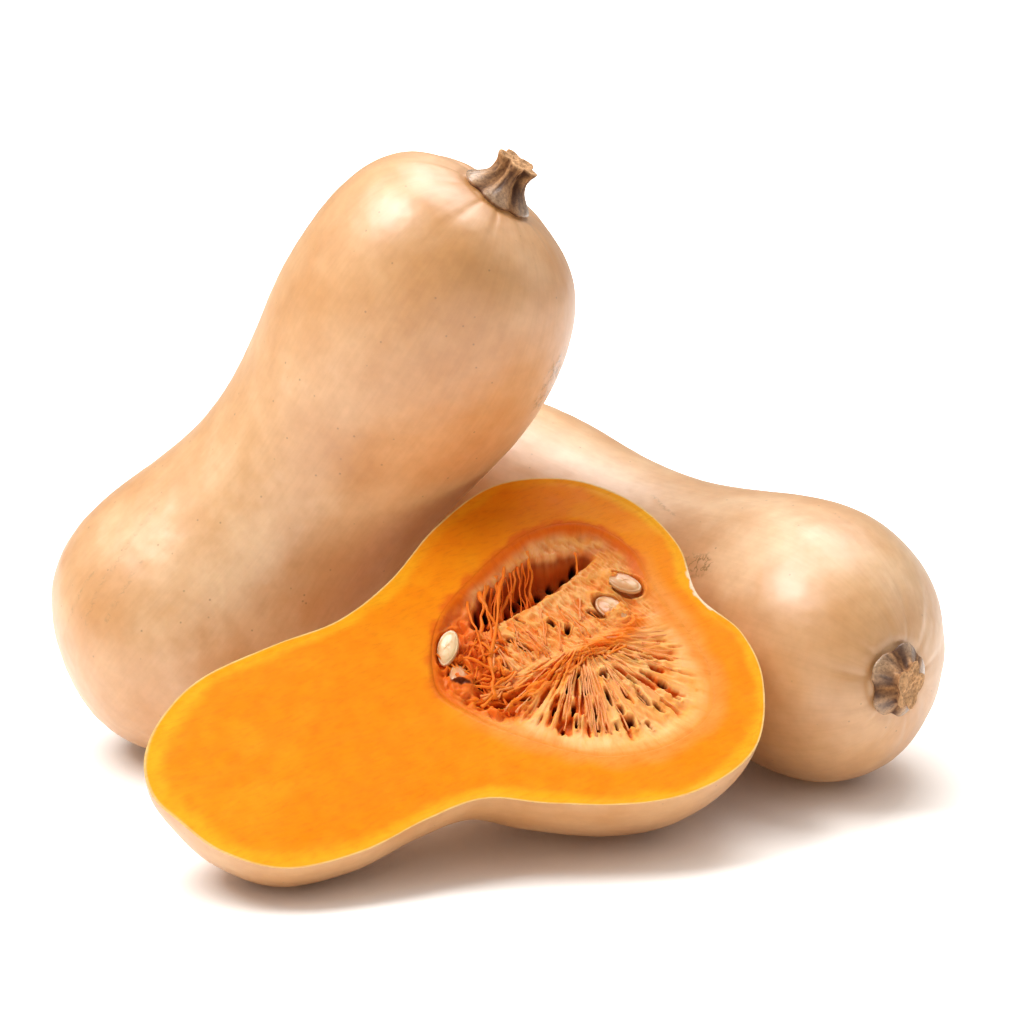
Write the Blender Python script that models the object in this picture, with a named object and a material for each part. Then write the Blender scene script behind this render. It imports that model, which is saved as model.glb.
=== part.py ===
"""Butternut squash group: one squash leaning on another, and a cut half with its seeds.

Metres, +Z up.  The group stands on the plane Z = 0 and is centred on its own footprint.
Every fruit is first shaped along its own axis, from the blossom end to the stem end,
and then turned and set down in the group.
"""

import math

import bmesh
import bpy
import numpy as np
from mathutils import Matrix, Vector

MM = 0.001

# --- the two whole fruits: radius in mm at seven stations from blossom end (0) to stem end (1)
STATIONS = (0.03, 0.15, 0.32, 0.50, 0.68, 0.85, 0.97)
LEANING = {
    "length": 266.4,
    "bend": 12.9,
    "radii": (25.2, 58.1, 57.2, 48.1, 53.7, 53.7, 34.2),
    "centre": (-76.8, -121.9, 115.4),
    "turn": (-13.6, 54.3, -27.3),      # degrees: yaw, pitch, roll of the fruit's axis
}
LYING = {
    "length": 289.0,
    "bend": 21.4,
    "radii": (30.0, 58.6, 58.4, 46.7, 49.2, 51.2, 29.9),
    "centre": (45.6, -83.9, 56.8),
    "turn": (-39.6, -3.3, 2.7),
}

# --- the cut half: outline of the cut face in mm, stem end first, then round by the upper side
HALF = {
    "centre": (-24.0, -226.0, 58.7),
    "turn": (206.1, -13.2, -36.2),
}
HALF_OUTLINE = (
    (111, -5), (107, -20), (94, -33), (74, -42), (45, -44), (20, -44), (-5, -52),
    (-32, -67), (-61, -75), (-88, -66), (-105, -46), (-110, -22), (-105, 1),
    (-111, 22), (-107, 44), (-90, 67), (-64, 74), (-38, 69), (-11, 56), (8, 45),
    (30, 44), (56, 46), (82, 41), (99, 26), (107, 9),
)
BLOSSOM_POINT = 12                     # index of the blossom scar in HALF_OUTLINE
BLOSSOM_LEAN = 0.07                    # how far the blossom end slopes inwards as it goes down

# --- the seed cavity, in the cut face's own millimetres
CAVITY_RIM = (
    (1, -4), (-11, -27), (-34, -41), (-62, -50), (-83, -45), (-93, -28), (-92, -8),
    (-93, 12), (-92, 30), (-83, 47), (-62, 53), (-38, 47), (-18, 30), (-4, 11),
)
CAVITY_CENTRE = (-52.0, 2.0)
CAVITY_DEPTH = 46.0
CAVITY_WALL_POWER = 0.55               # under 1 makes the wall steep near the rim

# --- the stringy pulp and the open hollow beside it
PULP_BELOW_CUT = 1.6
HOLLOW_CENTRE = (-49.0, -35.0, -12.0)
HOLLOW_SEMI_AXES = (33.0, 18.0, 27.0)

# --- seeds: centre in the cut face's frame (mm), heading and tilts in degrees
SEED_LENGTH = 14.5
SEED_WIDTH = 8.0
SEED_THICKNESS = 3.4
SEEDS = (
    ((-83.0, -16.0, -1.2), 126.0, 8.0, -6.0),
    ((-73.5, -8.0, -2.0), 108.0, -10.0, 12.0),
    ((-10.5, -17.0, -1.0), 52.0, 12.0, 20.0),
    ((-8.5, -3.5, -2.4), 70.0, -8.0, -14.0),
)

# --- stems: a corky five-angled stalk flared onto the fruit
STEM_ANGLES = 5
FLARE_HEIGHT = 3.4                     # mm over which the foot's flare dies away
WAIST_PINCH = 0.12                     # how much a stem narrows between foot and top
FOOT_RIDGE = 0.05                      # depth of the angles, as a share of the radius, at the foot
TOP_RIDGE = 0.12                       # and at the top
FOOT_FIT_HEIGHT = 9.0                  # mm over which a stem takes up the slope of the skin under it
LEANING_STEM = {
    "at": 1.0,                         # station of its foot along the fruit
    "aside": (0.0, 0.0),               # shift of the foot across the axis, mm
    "height": 12.8,
    "foot": 14.5,
    "top": 7.0,
    "sway": (0.3, 2.3),                # how far the top leans across the axis, mm
}
LYING_STEM = {
    "at": 0.985,
    "aside": (-11.0, 4.5),
    "height": 10.0,
    "foot": 14.0,
    "top": 7.5,
    "sway": (-5.0, 1.0),
}

# --- fineness of the solids, and the clearances between them
GAP = 0.5
END_RING = 0.13                        # sine of the angle of the ring next to a pole
AROUND = 36
ALONG = 26
HALF_ALONG = 34
HALF_AROUND = 18
RIM_COUNT = 44

COLOURS = {
    "rind": (0.76, 0.47, 0.24, 1.0),
    "flesh": (0.95, 0.36, 0.03, 1.0),
    "pulp": (0.86, 0.27, 0.05, 1.0),
    "seed": (0.84, 0.70, 0.50, 1.0),
    "stem": (0.33, 0.22, 0.13, 1.0),
}
ROUGHNESS = {"rind": 0.42, "flesh": 0.45, "pulp": 0.5, "seed": 0.4, "stem": 0.85}


def clear_scene():
    """Remove every object that the file holds."""
    for item in list(bpy.data.objects):
        bpy.data.objects.remove(item, do_unlink=True)


def make_material(kind):
    """One plain surface for a kind of tissue."""
    material = bpy.data.materials.new(kind)
    material.use_nodes = True
    shader = material.node_tree.nodes["Principled BSDF"]
    shader.inputs["Base Color"].default_value = COLOURS[kind]
    shader.inputs["Roughness"].default_value = ROUGHNESS[kind]
    shader.inputs["Metallic"].default_value = 0.0
    return material


def axis_frame(turn):
    """The fruit's axis and the two directions across it, as the columns of a turn."""
    yaw, pitch, roll = (math.radians(angle) for angle in turn)
    along = Vector((math.cos(pitch) * math.cos(yaw), math.cos(pitch) * math.sin(yaw), math.sin(pitch)))
    level = Vector((0.0, 0.0, 1.0)).cross(along).normalized()
    upright = along.cross(level)
    across = level * math.cos(roll) + upright * math.sin(roll)
    normal = along.cross(across)
    return Matrix((along, across, normal)).transposed()


def placement(fruit):
    """The matrix that sets a fruit, shaped in its own frame, down in the group."""
    place = axis_frame(fruit["turn"]).to_4x4()
    place.translation = Vector(fruit["centre"]) * MM
    return place


def station_radius(radii, t):
    """Radius along a whole fruit: a half-circle envelope times a smooth swelling curve."""
    stations = np.array(STATIONS)
    swelling = np.array(radii) / (2.0 * np.sqrt(stations * (1.0 - stations)))
    curve = np.polyfit(stations, swelling, len(stations) - 1)
    return 2.0 * np.sqrt(np.clip(t * (1.0 - t), 0.0, 1.0)) * np.polyval(curve, t)


def station_axis(fruit, t):
    """The bent centre line of a whole fruit, in its own frame, in mm."""
    along = (t - 0.5) * fruit["length"]
    across = fruit["bend"] * (4.0 * t * (1.0 - t) - 0.5)
    return np.stack([along, across, np.zeros_like(along)], axis=-1)


def fruit_point(fruit, t, angle):
    """A point of a whole fruit's skin at station t and angle, in its own frame, in mm."""
    t = np.asarray(t, dtype=float)
    radius = station_radius(fruit["radii"], t)
    ring = np.stack([np.zeros_like(t), radius * np.cos(angle), radius * np.sin(angle)], axis=-1)
    return station_axis(fruit, t) + ring


def mesh_object(name, bm, kind, place):
    """Close a bmesh (in mm, in its own frame) into a named, placed object."""
    bmesh.ops.recalc_face_normals(bm, faces=bm.faces)
    bmesh.ops.transform(bm, matrix=Matrix.Scale(MM, 4), verts=bm.verts)
    if bm.calc_volume(signed=True) < 0.0:
        bmesh.ops.reverse_faces(bm, faces=bm.faces)
    mesh = bpy.data.meshes.new(name)
    bm.to_mesh(mesh)
    bm.free()
    mesh.shade_smooth()
    mesh.materials.append(make_material(kind))
    item = bpy.data.objects.new(name, mesh)
    item.matrix_world = place
    bpy.context.scene.collection.objects.link(item)
    return item


def skin_rings(bm, rings, first_pole=None, last_pole=None):
    """Join closed rings of equal count with quads, and close the ends on poles."""
    loops = [[bm.verts.new(point) for point in ring] for ring in rings]
    count = len(loops[0])
    for lower, upper in zip(loops, loops[1:]):
        for i in range(count):
            j = (i + 1) % count
            bm.faces.new((lower[i], lower[j], upper[j], upper[i]))
    for pole, loop in ((first_pole, loops[0]), (last_pole, loops[-1])):
        if pole is None:
            continue
        tip = bm.verts.new(pole)
        for i in range(count):
            bm.faces.new((loop[i], loop[(i + 1) % count], tip))
    return loops


def flatten_resting_spot(item):
    """Slice off what lies below the ground plane and cap it, as a flat resting spot."""
    bm = bmesh.new()
    bm.from_mesh(item.data)
    bm.transform(item.matrix_world)
    geometry = bm.verts[:] + bm.edges[:] + bm.faces[:]
    bmesh.ops.bisect_plane(
        bm, geom=geometry, plane_co=(0, 0, 0), plane_no=(0, 0, 1), dist=1e-7, clear_inner=True
    )
    rim = [edge for edge in bm.edges if edge.is_boundary]
    bmesh.ops.holes_fill(bm, edges=rim, sides=0)
    bmesh.ops.remove_doubles(bm, verts=bm.verts, dist=1e-6)
    bmesh.ops.triangulate(bm, faces=bm.faces)
    bmesh.ops.recalc_face_normals(bm, faces=bm.faces)
    bm.transform(item.matrix_world.inverted())
    bm.to_mesh(item.data)
    bm.free()


def make_whole_fruit(name, fruit):
    """A whole squash: rings round a bent axis, closed on the blossom and stem ends."""
    end = math.asin(END_RING)
    stations = (1.0 - np.cos(np.linspace(end, math.pi - end, ALONG))) / 2.0
    angles = np.linspace(0.0, 2.0 * math.pi, AROUND, endpoint=False)
    rings = [[fruit_point(fruit, t, angle) for angle in angles] for t in stations]
    bm = bmesh.new()
    skin_rings(bm, rings, station_axis(fruit, np.array(0.0)), station_axis(fruit, np.array(1.0)))
    item = mesh_object(name, bm, "rind", placement(fruit))
    flatten_resting_spot(item)
    return item


def stem_radius(stem, height, angle):
    """Radius of a stem: a flared foot, a waist, a slightly wider cut top, five blunt angles."""
    flare = math.exp(-height / FLARE_HEIGHT)
    pinch = WAIST_PINCH * math.sin(math.pi * min(height / stem["height"], 1.0))
    waist = stem["top"] * (1.0 - pinch)
    ridge = 1.0 + (TOP_RIDGE + (FOOT_RIDGE - TOP_RIDGE) * flare) * math.cos(STEM_ANGLES * angle)
    return (waist + (stem["foot"] - waist) * flare) * ridge


def make_stem(name, fruit, stem):
    """A corky stalk: ridged rings rising from a foot that follows the fruit's skin."""
    angles = np.linspace(0.0, 2.0 * math.pi, 6 * STEM_ANGLES, endpoint=False)
    base = station_axis(fruit, np.array(stem["at"])) + np.array((0.0, *stem["aside"]))

    def skin_height(across):
        """Height of the skin over the foot's own plane, at a point across the axis."""
        stations = np.linspace(0.6, 1.0, 4000)
        centre = station_axis(fruit, stations)
        radius = station_radius(fruit["radii"], stations)
        inside = np.hypot(centre[:, 1] - across[0], centre[:, 2] - across[1]) <= radius
        station = stations[inside].max() if inside.any() else stations[-1]
        return (station - 0.5) * fruit["length"] - base[0]

    def ring(scale, height):
        """One ring of the stem: near the fruit it follows the skin, further out it is flat."""
        follow = max(0.0, 1.0 - height / FOOT_FIT_HEIGHT)
        points = []
        for angle in angles:
            reach = stem_radius(stem, height, angle) * scale
            rise = height / stem["height"]
            across = np.array((
                base[1] + reach * math.cos(angle) + stem["sway"][0] * rise ** 1.5,
                base[2] + reach * math.sin(angle) + stem["sway"][1] * rise ** 1.5,
            ))
            points.append((base[0] + skin_height(across) * follow + height + GAP, *across))
        return points

    underside = [ring(scale, 0.0) for scale in (0.33, 0.66, 1.0)]
    sides = [ring(1.0, stem["height"] * rise) for rise in (0.1, 0.2, 0.34, 0.5, 0.68, 0.85, 1.0)]
    top = [ring(0.6, stem["height"])]
    foot_centre = (base[0] + skin_height(base[1:]) + GAP, base[1], base[2])
    tip = (base[0] + stem["height"] + GAP, base[1] + stem["sway"][0], base[2] + stem["sway"][1])
    bm = bmesh.new()
    skin_rings(bm, underside + sides + top, foot_centre, tip)
    return mesh_object(name, bm, "stem", placement(fruit))


def smooth_loop(points, steps):
    """A closed Catmull-Rom curve through the points, with the same steps between each two."""
    knots = np.array(points, dtype=float)
    before, after = np.roll(knots, 1, axis=0), np.roll(knots, -1, axis=0)
    later = np.roll(knots, -2, axis=0)
    u = (np.arange(steps) / steps)[None, :, None]
    p0, p1, p2, p3 = (array[:, None, :] for array in (before, knots, after, later))
    curve = 0.5 * (
        2.0 * p1 + (p2 - p0) * u + (2.0 * p0 - 5.0 * p1 + 4.0 * p2 - p3) * u ** 2
        + (3.0 * p1 - p0 - 3.0 * p2 + p3) * u ** 3
    )
    return curve.reshape(-1, 2)


def spread(curve, fractions):
    """Points at the given fractions of an open curve's length."""
    steps = np.linalg.norm(np.diff(curve, axis=0), axis=1)
    length = np.concatenate([[0.0], np.cumsum(steps)])
    length /= length[-1]
    return np.stack([np.interp(fractions, length, curve[:, k]) for k in (0, 1)], axis=1)


def half_edges():
    """The cut face's two edges, upper and lower, each from the stem end to the blossom scar."""
    steps = 24
    curve = smooth_loop(HALF_OUTLINE, steps)
    scar = BLOSSOM_POINT * steps
    upper = curve[: scar + 1]
    lower = np.concatenate([curve[scar:], curve[:1]])[::-1]
    fractions = (1.0 - np.cos(np.linspace(0.0, math.pi, HALF_ALONG + 1))) / 2.0
    fractions = 0.5 * fractions + 0.5 * np.linspace(0.0, 1.0, HALF_ALONG + 1)
    return spread(upper, fractions), spread(lower, fractions)


def cavity_rings(shrink, rings=9):
    """The seed cavity's wall: its rim drawn in towards its centre as it goes down."""
    rim = spread(smooth_loop(CAVITY_RIM + CAVITY_RIM[:1], 12)[: len(CAVITY_RIM) * 12 + 1],
                 np.linspace(0.0, 1.0, RIM_COUNT, endpoint=False))
    centre = np.array(CAVITY_CENTRE)
    reach = np.linalg.norm(rim - centre, axis=1, keepdims=True)
    rim = centre + (rim - centre) * (reach - shrink) / reach
    levels = []
    for turn in np.linspace(0.0, math.pi / 2.0, rings + 1)[:-1]:
        width = math.cos(turn) ** CAVITY_WALL_POWER
        ring = centre + (rim - centre) * width
        depth = -(CAVITY_DEPTH - shrink) * math.sin(turn)
        levels.append([(x, y, depth) for x, y in ring])
    bottom = (centre[0], centre[1], -(CAVITY_DEPTH - shrink))
    return levels, bottom


def make_half():
    """The cut half: a rounded rind side, a flat cut face and the cavity sunk into it."""
    upper, lower = half_edges()
    middle = (upper + lower) / 2.0
    sweep = np.linspace(0.0, math.pi, HALF_AROUND + 1)
    bm = bmesh.new()
    rows = []
    for top, bottom, centre in zip(upper[1:-1], lower[1:-1], middle[1:-1]):
        depth = np.linalg.norm(top - bottom) / 2.0
        blossom = max(-centre[0] / 110.0, 0.0) ** 3
        row = []
        for angle in sweep:
            x, y = centre + (top - centre) * math.cos(angle)
            drop = depth * math.sin(angle)
            row.append(bm.verts.new((x + BLOSSOM_LEAN * blossom * drop, y, -drop)))
        rows.append(row)
    stem_end = bm.verts.new((*upper[0], 0.0))
    scar = bm.verts.new((*upper[-1], 0.0))
    for row, following in zip(rows, rows[1:]):
        for i in range(HALF_AROUND):
            bm.faces.new((row[i], row[i + 1], following[i + 1], following[i]))
    for i in range(HALF_AROUND):
        bm.faces.new((rows[0][i], rows[0][i + 1], stem_end))
        bm.faces.new((rows[-1][i + 1], rows[-1][i], scar))
    levels, bottom = cavity_rings(0.0)
    skin_rings(bm, levels, None, bottom)
    open_edges = [edge for edge in bm.edges if edge.is_boundary]
    bmesh.ops.triangle_fill(bm, edges=open_edges, use_beauty=True, normal=(0, 0, 1))
    item = mesh_object("half_squash", bm, "flesh", placement(HALF))
    flatten_resting_spot(item)
    return item


def seed_matrix(seed):
    """Where a seed lies, in the cut face's own frame, in mm."""
    centre, heading, pitch, roll = seed
    turn = (
        Matrix.Rotation(math.radians(heading), 4, "Z")
        @ Matrix.Rotation(math.radians(pitch), 4, "Y")
        @ Matrix.Rotation(math.radians(roll), 4, "X")
    )
    return Matrix.Translation(centre) @ turn


def seed_solid(seed, extra):
    """A flat teardrop seed as a bmesh, grown outwards by extra, in the cut face's frame."""
    bm = bmesh.new()
    bmesh.ops.create_uvsphere(bm, u_segments=16, v_segments=8, radius=1.0)
    half_length = SEED_LENGTH / 2.0 + extra
    half_width = SEED_WIDTH / 2.0 + extra
    half_thickness = SEED_THICKNESS / 2.0 + extra
    for vertex in bm.verts:
        x, y, z = vertex.co
        taper = 1.0 - 0.28 * max(x, 0.0) ** 1.5
        vertex.co = (x * half_length, y * half_width * taper, z * half_thickness * taper)
    bm.transform(seed_matrix(seed))
    return bm


def make_seed(number, seed):
    """One loose flat seed."""
    return mesh_object("seed_%d" % number, seed_solid(seed, 0.0), "seed", placement(HALF))


def make_cutter(name, bm):
    """A guide solid that is subtracted and isn't part of the fruit."""
    cutter = mesh_object(name, bm, "pulp", placement(HALF))
    cutter.hide_render = True
    cutter.display_type = "WIRE"
    return cutter


def hollow_solid():
    """The open hollow beside the pulp, as an ellipsoid."""
    bm = bmesh.new()
    bmesh.ops.create_uvsphere(bm, u_segments=20, v_segments=12, radius=1.0)
    bm.transform(Matrix.Translation(HOLLOW_CENTRE) @ Matrix.Diagonal((*HOLLOW_SEMI_AXES, 1.0)))
    return bm


def make_pulp():
    """The stringy pulp: it fills the cavity up to just below the cut, but for the hollow."""
    levels, bottom = cavity_rings(GAP)
    lid = [(x, y, -PULP_BELOW_CUT) for x, y, _ in levels[0]]
    lower_levels = [ring for ring in levels if ring[0][2] < -PULP_BELOW_CUT - 1.0]
    bm = bmesh.new()
    skin_rings(bm, [lid] + lower_levels, None, bottom)
    rim = [edge for edge in bm.edges if edge.is_boundary]
    bmesh.ops.triangle_fill(bm, edges=rim, use_beauty=True, normal=(0, 0, 1))
    pulp = mesh_object("seed_pulp", bm, "pulp", placement(HALF))
    cutters = [make_cutter("hollow_guide", hollow_solid())]
    for number, seed in enumerate(SEEDS, start=1):
        cutters.append(make_cutter("seed_%d_guide" % number, seed_solid(seed, GAP)))
    for cutter in cutters:
        cut = pulp.modifiers.new(cutter.name, "BOOLEAN")
        cut.operation = "DIFFERENCE"
        cut.solver = "EXACT"
        cut.object = cutter
    return pulp


def centre_group():
    """Hang everything on one empty and centre the group's footprint on the origin."""
    bpy.context.view_layer.update()
    solids = [item for item in bpy.data.objects if item.display_type != "WIRE"]
    corners = [item.matrix_world @ vertex.co for item in solids for vertex in item.data.vertices]
    group = bpy.data.objects.new("squash_group", None)
    bpy.context.scene.collection.objects.link(group)
    for item in list(bpy.data.objects):
        if item is not group:
            item.parent = group
    group.location.x = -(min(c.x for c in corners) + max(c.x for c in corners)) / 2.0
    group.location.y = -(min(c.y for c in corners) + max(c.y for c in corners)) / 2.0
    bpy.context.view_layer.update()
    return group


def main():
    clear_scene()
    make_whole_fruit("leaning_squash", LEANING)
    make_stem("leaning_stem", LEANING, LEANING_STEM)
    make_whole_fruit("lying_squash", LYING)
    make_stem("lying_stem", LYING, LYING_STEM)
    make_half()
    make_pulp()
    for number, seed in enumerate(SEEDS, start=1):
        make_seed(number, seed)
    centre_group()


main()
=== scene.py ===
"""The looks of a butternut squash group, made round its fixed frame.

One whole squash leans on another, and a lengthwise half lies in front of them with its seeds.
Shapes are worked out in millimetres, each in its own fruit's frame, and set down in metres.
"""

import math

import bpy
import numpy as np
from mathutils import Matrix, Vector


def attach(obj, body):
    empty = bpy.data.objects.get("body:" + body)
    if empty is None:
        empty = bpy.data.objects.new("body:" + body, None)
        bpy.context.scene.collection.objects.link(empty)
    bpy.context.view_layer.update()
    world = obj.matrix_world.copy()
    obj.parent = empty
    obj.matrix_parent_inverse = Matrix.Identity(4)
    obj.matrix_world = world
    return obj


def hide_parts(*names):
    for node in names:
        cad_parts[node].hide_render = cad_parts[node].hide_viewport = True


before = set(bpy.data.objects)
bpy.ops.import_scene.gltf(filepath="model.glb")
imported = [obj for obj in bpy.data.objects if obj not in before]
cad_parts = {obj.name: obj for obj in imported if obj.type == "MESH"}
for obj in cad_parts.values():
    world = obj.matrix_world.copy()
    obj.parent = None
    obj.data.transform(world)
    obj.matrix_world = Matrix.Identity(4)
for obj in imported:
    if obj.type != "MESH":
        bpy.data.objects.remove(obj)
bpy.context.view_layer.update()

bl_info = {
    "name": "Butternut squash group",
    "version": (1, 0, 0),
    "blender": (4, 5, 0),
    "location": "3D View > Sidebar > Squash",
    "description": "Builds the skins, cut flesh, pulp, seeds and stems of a butternut squash group",
    "category": "Add Mesh",
}

MM = 0.001
GROUP_SHIFT = np.array((6.89, 130.79, 0.0))       # mm, centres the group's footprint

# --- the two whole fruits: radius in mm at stations from blossom end (0) to stem end (1)
# scars: station, bearing, reach along and around in mm; scratches: their two ends
# patches: station, bearing, reach along and around in mm, and how much warmer
STATIONS = (0.03, 0.15, 0.32, 0.50, 0.68, 0.85, 0.97)
LEANING = {
    "length": 266.4,
    "bend": 12.9,
    "radii": (25.2, 58.1, 57.2, 48.1, 53.7, 53.7, 34.2),
    "centre": (-76.8, -121.9, 115.4),
    "turn": (-13.6, 54.3, -27.3),
    "stem": {
        "at": 1.0, "aside": (0.0, 0.0), "sway": (3.4, 2.7),
        "height": 12.8, "foot": 14.0, "top": 6.9, "star": 0.15,
    },
    "scars": ((0.83, -1.25, 13.0, 8.0),),
    "scratches": (((0.18, 3.10), (0.36, 2.83)), ((0.21, 3.22), (0.30, 3.12)), ((0.14, 2.95), (0.24, 2.88))),
    "patches": (
        (0.83, -2.35, 50.0, 30.0, 1.0), (0.36, -2.75, 38.0, 26.0, -1.2), (0.46, -2.09, 30.0, 20.0, -0.6),
        (0.14, -2.82, 25.0, 35.0, 0.8), (0.61, -2.90, 25.0, 20.0, 0.5),
    ),
    "seed": 11,
}
LYING = {
    "length": 289.0,
    "bend": 21.4,
    "radii": (30.0, 58.6, 58.4, 46.7, 49.2, 51.2, 29.9),
    "centre": (45.6, -83.9, 56.8),
    "turn": (-39.6, -3.3, 2.7),
    "stem": {
        "at": 0.985, "aside": (-11.0, 4.5), "sway": (-5.0, 1.0),
        "height": 10.0, "foot": 14.0, "top": 7.3, "star": 0.07,
    },
    "scars": ((0.695, 2.44, 9.0, 5.5),),
    "scratches": (((0.55, 1.9), (0.61, 2.05)),),
    "patches": (
        (0.72, 2.0, 45.0, 28.0, -1.3), (0.40, 1.5, 40.0, 25.0, -0.9), (0.977, 1.17, 25.0, 25.0, -0.6),
    ),
    "seed": 23,
}
ALONG, AROUND = 250, 380                          # fineness of a whole skin
SKIN_END = 0.012                                  # where the rings stop short of each pole
GRAIN_AROUND, GRAIN_ALONG = 55.0, 0.07            # streaks: mm round the fruit, share of its length
SCRATCH_SIDE, SCRATCH_RADIUS = 3.0, 56.0          # bearing and radius at which scratches are measured

# --- the cut half, in its cut face's own millimetres
HALF = {"centre": (-24.0, -226.0, 58.7), "turn": (206.1, -13.2, -36.2)}
HALF_OUTLINE = (
    (111, -5), (107, -20), (94, -33), (74, -42), (45, -44), (20, -44), (-5, -52),
    (-32, -67), (-61, -75), (-88, -66), (-105, -46), (-110, -22), (-105, 1),
    (-111, 22), (-107, 44), (-90, 67), (-64, 74), (-38, 69), (-11, 56), (8, 45),
    (30, 44), (56, 46), (82, 41), (99, 26), (107, 9),
)
BLOSSOM_POINT = 12
BLOSSOM_LEAN = 0.07
CAVITY_RIM = (
    (1, -4), (-11, -27), (-34, -41), (-62, -50), (-83, -45), (-93, -28), (-92, -8),
    (-93, 12), (-92, 30), (-83, 47), (-62, 53), (-38, 47), (-18, 30), (-4, 11),
)
CAVITY_CENTRE = np.array((-52.0, 2.0))
CAVITY_DEPTH = 46.0
CAVITY_WALL_POWER = 0.55
HALF_ROWS, HALF_SWEEP, FACE_RINGS, BOWL_RINGS = 200, 100, 64, 26

# --- what lies in the cavity
FAN_CENTRE = np.array((-57.0, -1.0))
BED_RINGS, BED_AROUND, BED_UNDER = 186, 480, 10
HOLLOW = (
    (-23, -24), (-31, -34), (-41, -37), (-49, -40), (-57, -41), (-67, -39), (-78, -36), (-80, -31),
    (-73, -28), (-67, -26), (-51, -22), (-37, -20), (-27, -19),
)
HOLLOW_DEPTH = 13.5
PITS = (
    (-29, -28), (-34, -31), (-42, -30), (-47, -32), (-51, -33), (-57, -32), (-63, -33), (-69, -33),
    (-73, -34),
)
FAN_SOCKETS = (                                   # where, half length, half width; they point at the core
    (-33, 22, 2.6, 0.8), (-39, 25, 2.8, 0.9), (-41, 17, 2.0, 0.8), (-45, 30, 4.0, 1.1), (-43, 36, 2.4, 0.8),
    (-31, 32, 2.2, 0.7), (-47, 20, 2.6, 0.8), (-56, 17, 2.2, 1.5), (-53, 26, 4.0, 1.1), (-54, 33, 2.4, 1.2),
    (-55, 39, 3.0, 1.5), (-64, 32, 4.2, 1.2), (-67, 38, 3.4, 1.0), (-60, 43, 2.4, 0.8), (-64, 23, 4.6, 0.8),
    (-69, 15, 3.4, 0.7), (-74, 17, 3.0, 0.7), (-74, 29, 2.6, 0.8), (-75, 37, 2.2, 0.8), (-80, 20, 1.8, 0.6),
    (-49, 39, 2.6, 0.6), (-37, 31, 2.6, 0.6), (-70, 24, 3.2, 0.6), (-59, 28, 3.0, 0.6), (-48, 13, 1.8, 0.7),
)
LOOSE_SOCKETS = (                                 # where, bearing in degrees, half length, half width
    (-36, -5, 127, 3.0, 1.3), (-34, -9, 127, 4.0, 0.9), (-50, -11, 100, 2.2, 1.5), (-54, -6, 60, 2.4, 1.2),
    (-40, -17, 120, 2.6, 0.7), (-67, -7, 125, 4.4, 1.2), (-7, -1, 145, 5.0, 1.6), (-13, 2, 120, 3.2, 1.4),
    (-22, 4, 60, 3.0, 1.8), (-26, -1, 100, 2.6, 1.0), (-16, 13, 150, 3.6, 1.1), (-25, 14, 160, 3.0, 1.0),
    (-10, 11, 140, 2.6, 0.9),
)
CORE_BAND = ((-4, 8), (-17, 11), (-30, 11), (-43, 7), (-52, 6), (-61, 4), (-69, 5), (-80, 1))
COVERED_SEEDS = {0: 0.52, 1: 0.0, 3: -0.30}       # how far along a seed the pulp's flap reaches
SEED_LENGTH, SEED_WIDTH, SEED_THICKNESS = 14.5, 8.0, 3.4
SEEDS = (
    ((-83.0, -16.0, -1.2), -54.0, 3.0, 6.0),
    ((-73.5, -8.0, -2.0), 108.0, -10.0, 12.0),
    ((-10.5, -17.0, -1.0), 52.0, 12.0, 20.0),
    ((-8.5, -3.5, -2.4), 70.0, -8.0, -14.0),
)
SEED_WETNESS = (0.65, 0.85, 0.10, 0.80)           # how amber the pulp's juice still leaves each seed

# --- the loose strings
STRING_DRAW, STRING_STEPS, STRING_SIDES = 20, 10, 6
LAID_STRINGS = (                                  # both ends, lift of the middle, half width
    ((-50, -46, -0.6), (-23, -8, -1.6), -0.6, 0.95),
    ((-23, -9, -1.6), (-16, 9, -1.2), 0.5, 1.05),
    ((-47, -43, -0.8), (-30, -19, -3.0), -1.0, 0.55),
    ((-56, -45, -0.8), (-37, -24, -6.0), -1.0, 0.75),
    ((-58, -44, -0.8), (-51, -26, -8.0), -0.6, 0.85),
    ((-42, -39, -0.8), (-36, -22, -6.0), -0.5, 0.8),
    ((-33, -35, -0.8), (-30, -12, -2.0), -0.5, 0.9),
    ((-41, -41, -0.8), (-23, -16, -2.0), -0.8, 0.95),
    ((-9, -14, -1.2), (-22, -2, -1.6), 0.6, 0.9),
    ((-6, -2, -1.4), (-24, 8, -1.6), 0.5, 1.0),
    ((-12, 8, -1.4), (-28, 1, -1.8), 0.6, 0.85),
    ((-18, 15, -1.4), (-33, 9, -1.6), 0.4, 0.8),
    ((-27, -33, -0.8), (-20, -6, -1.6), -0.3, 0.65),
    ((-37, -38, -0.8), (-27, -14, -3.0), -0.6, 0.7),
    ((-74, -36, -0.8), (-70, -27, -3.0), -0.3, 0.5),
    ((-45, -44, -0.8), (-34, -27, -5.0), -0.8, 0.5),
    ((-53, -46, -0.8), (-45, -30, -8.0), -0.4, 0.45),
)

# --- stems
STEM_ANGLES = 5
FLARE_HEIGHT = 3.4
WAIST_PINCH = 0.12
FOOT_FIT_HEIGHT = 9.0
FOOT_SUNK = 1.0                                   # mm a stem's foot stands into the skin

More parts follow.
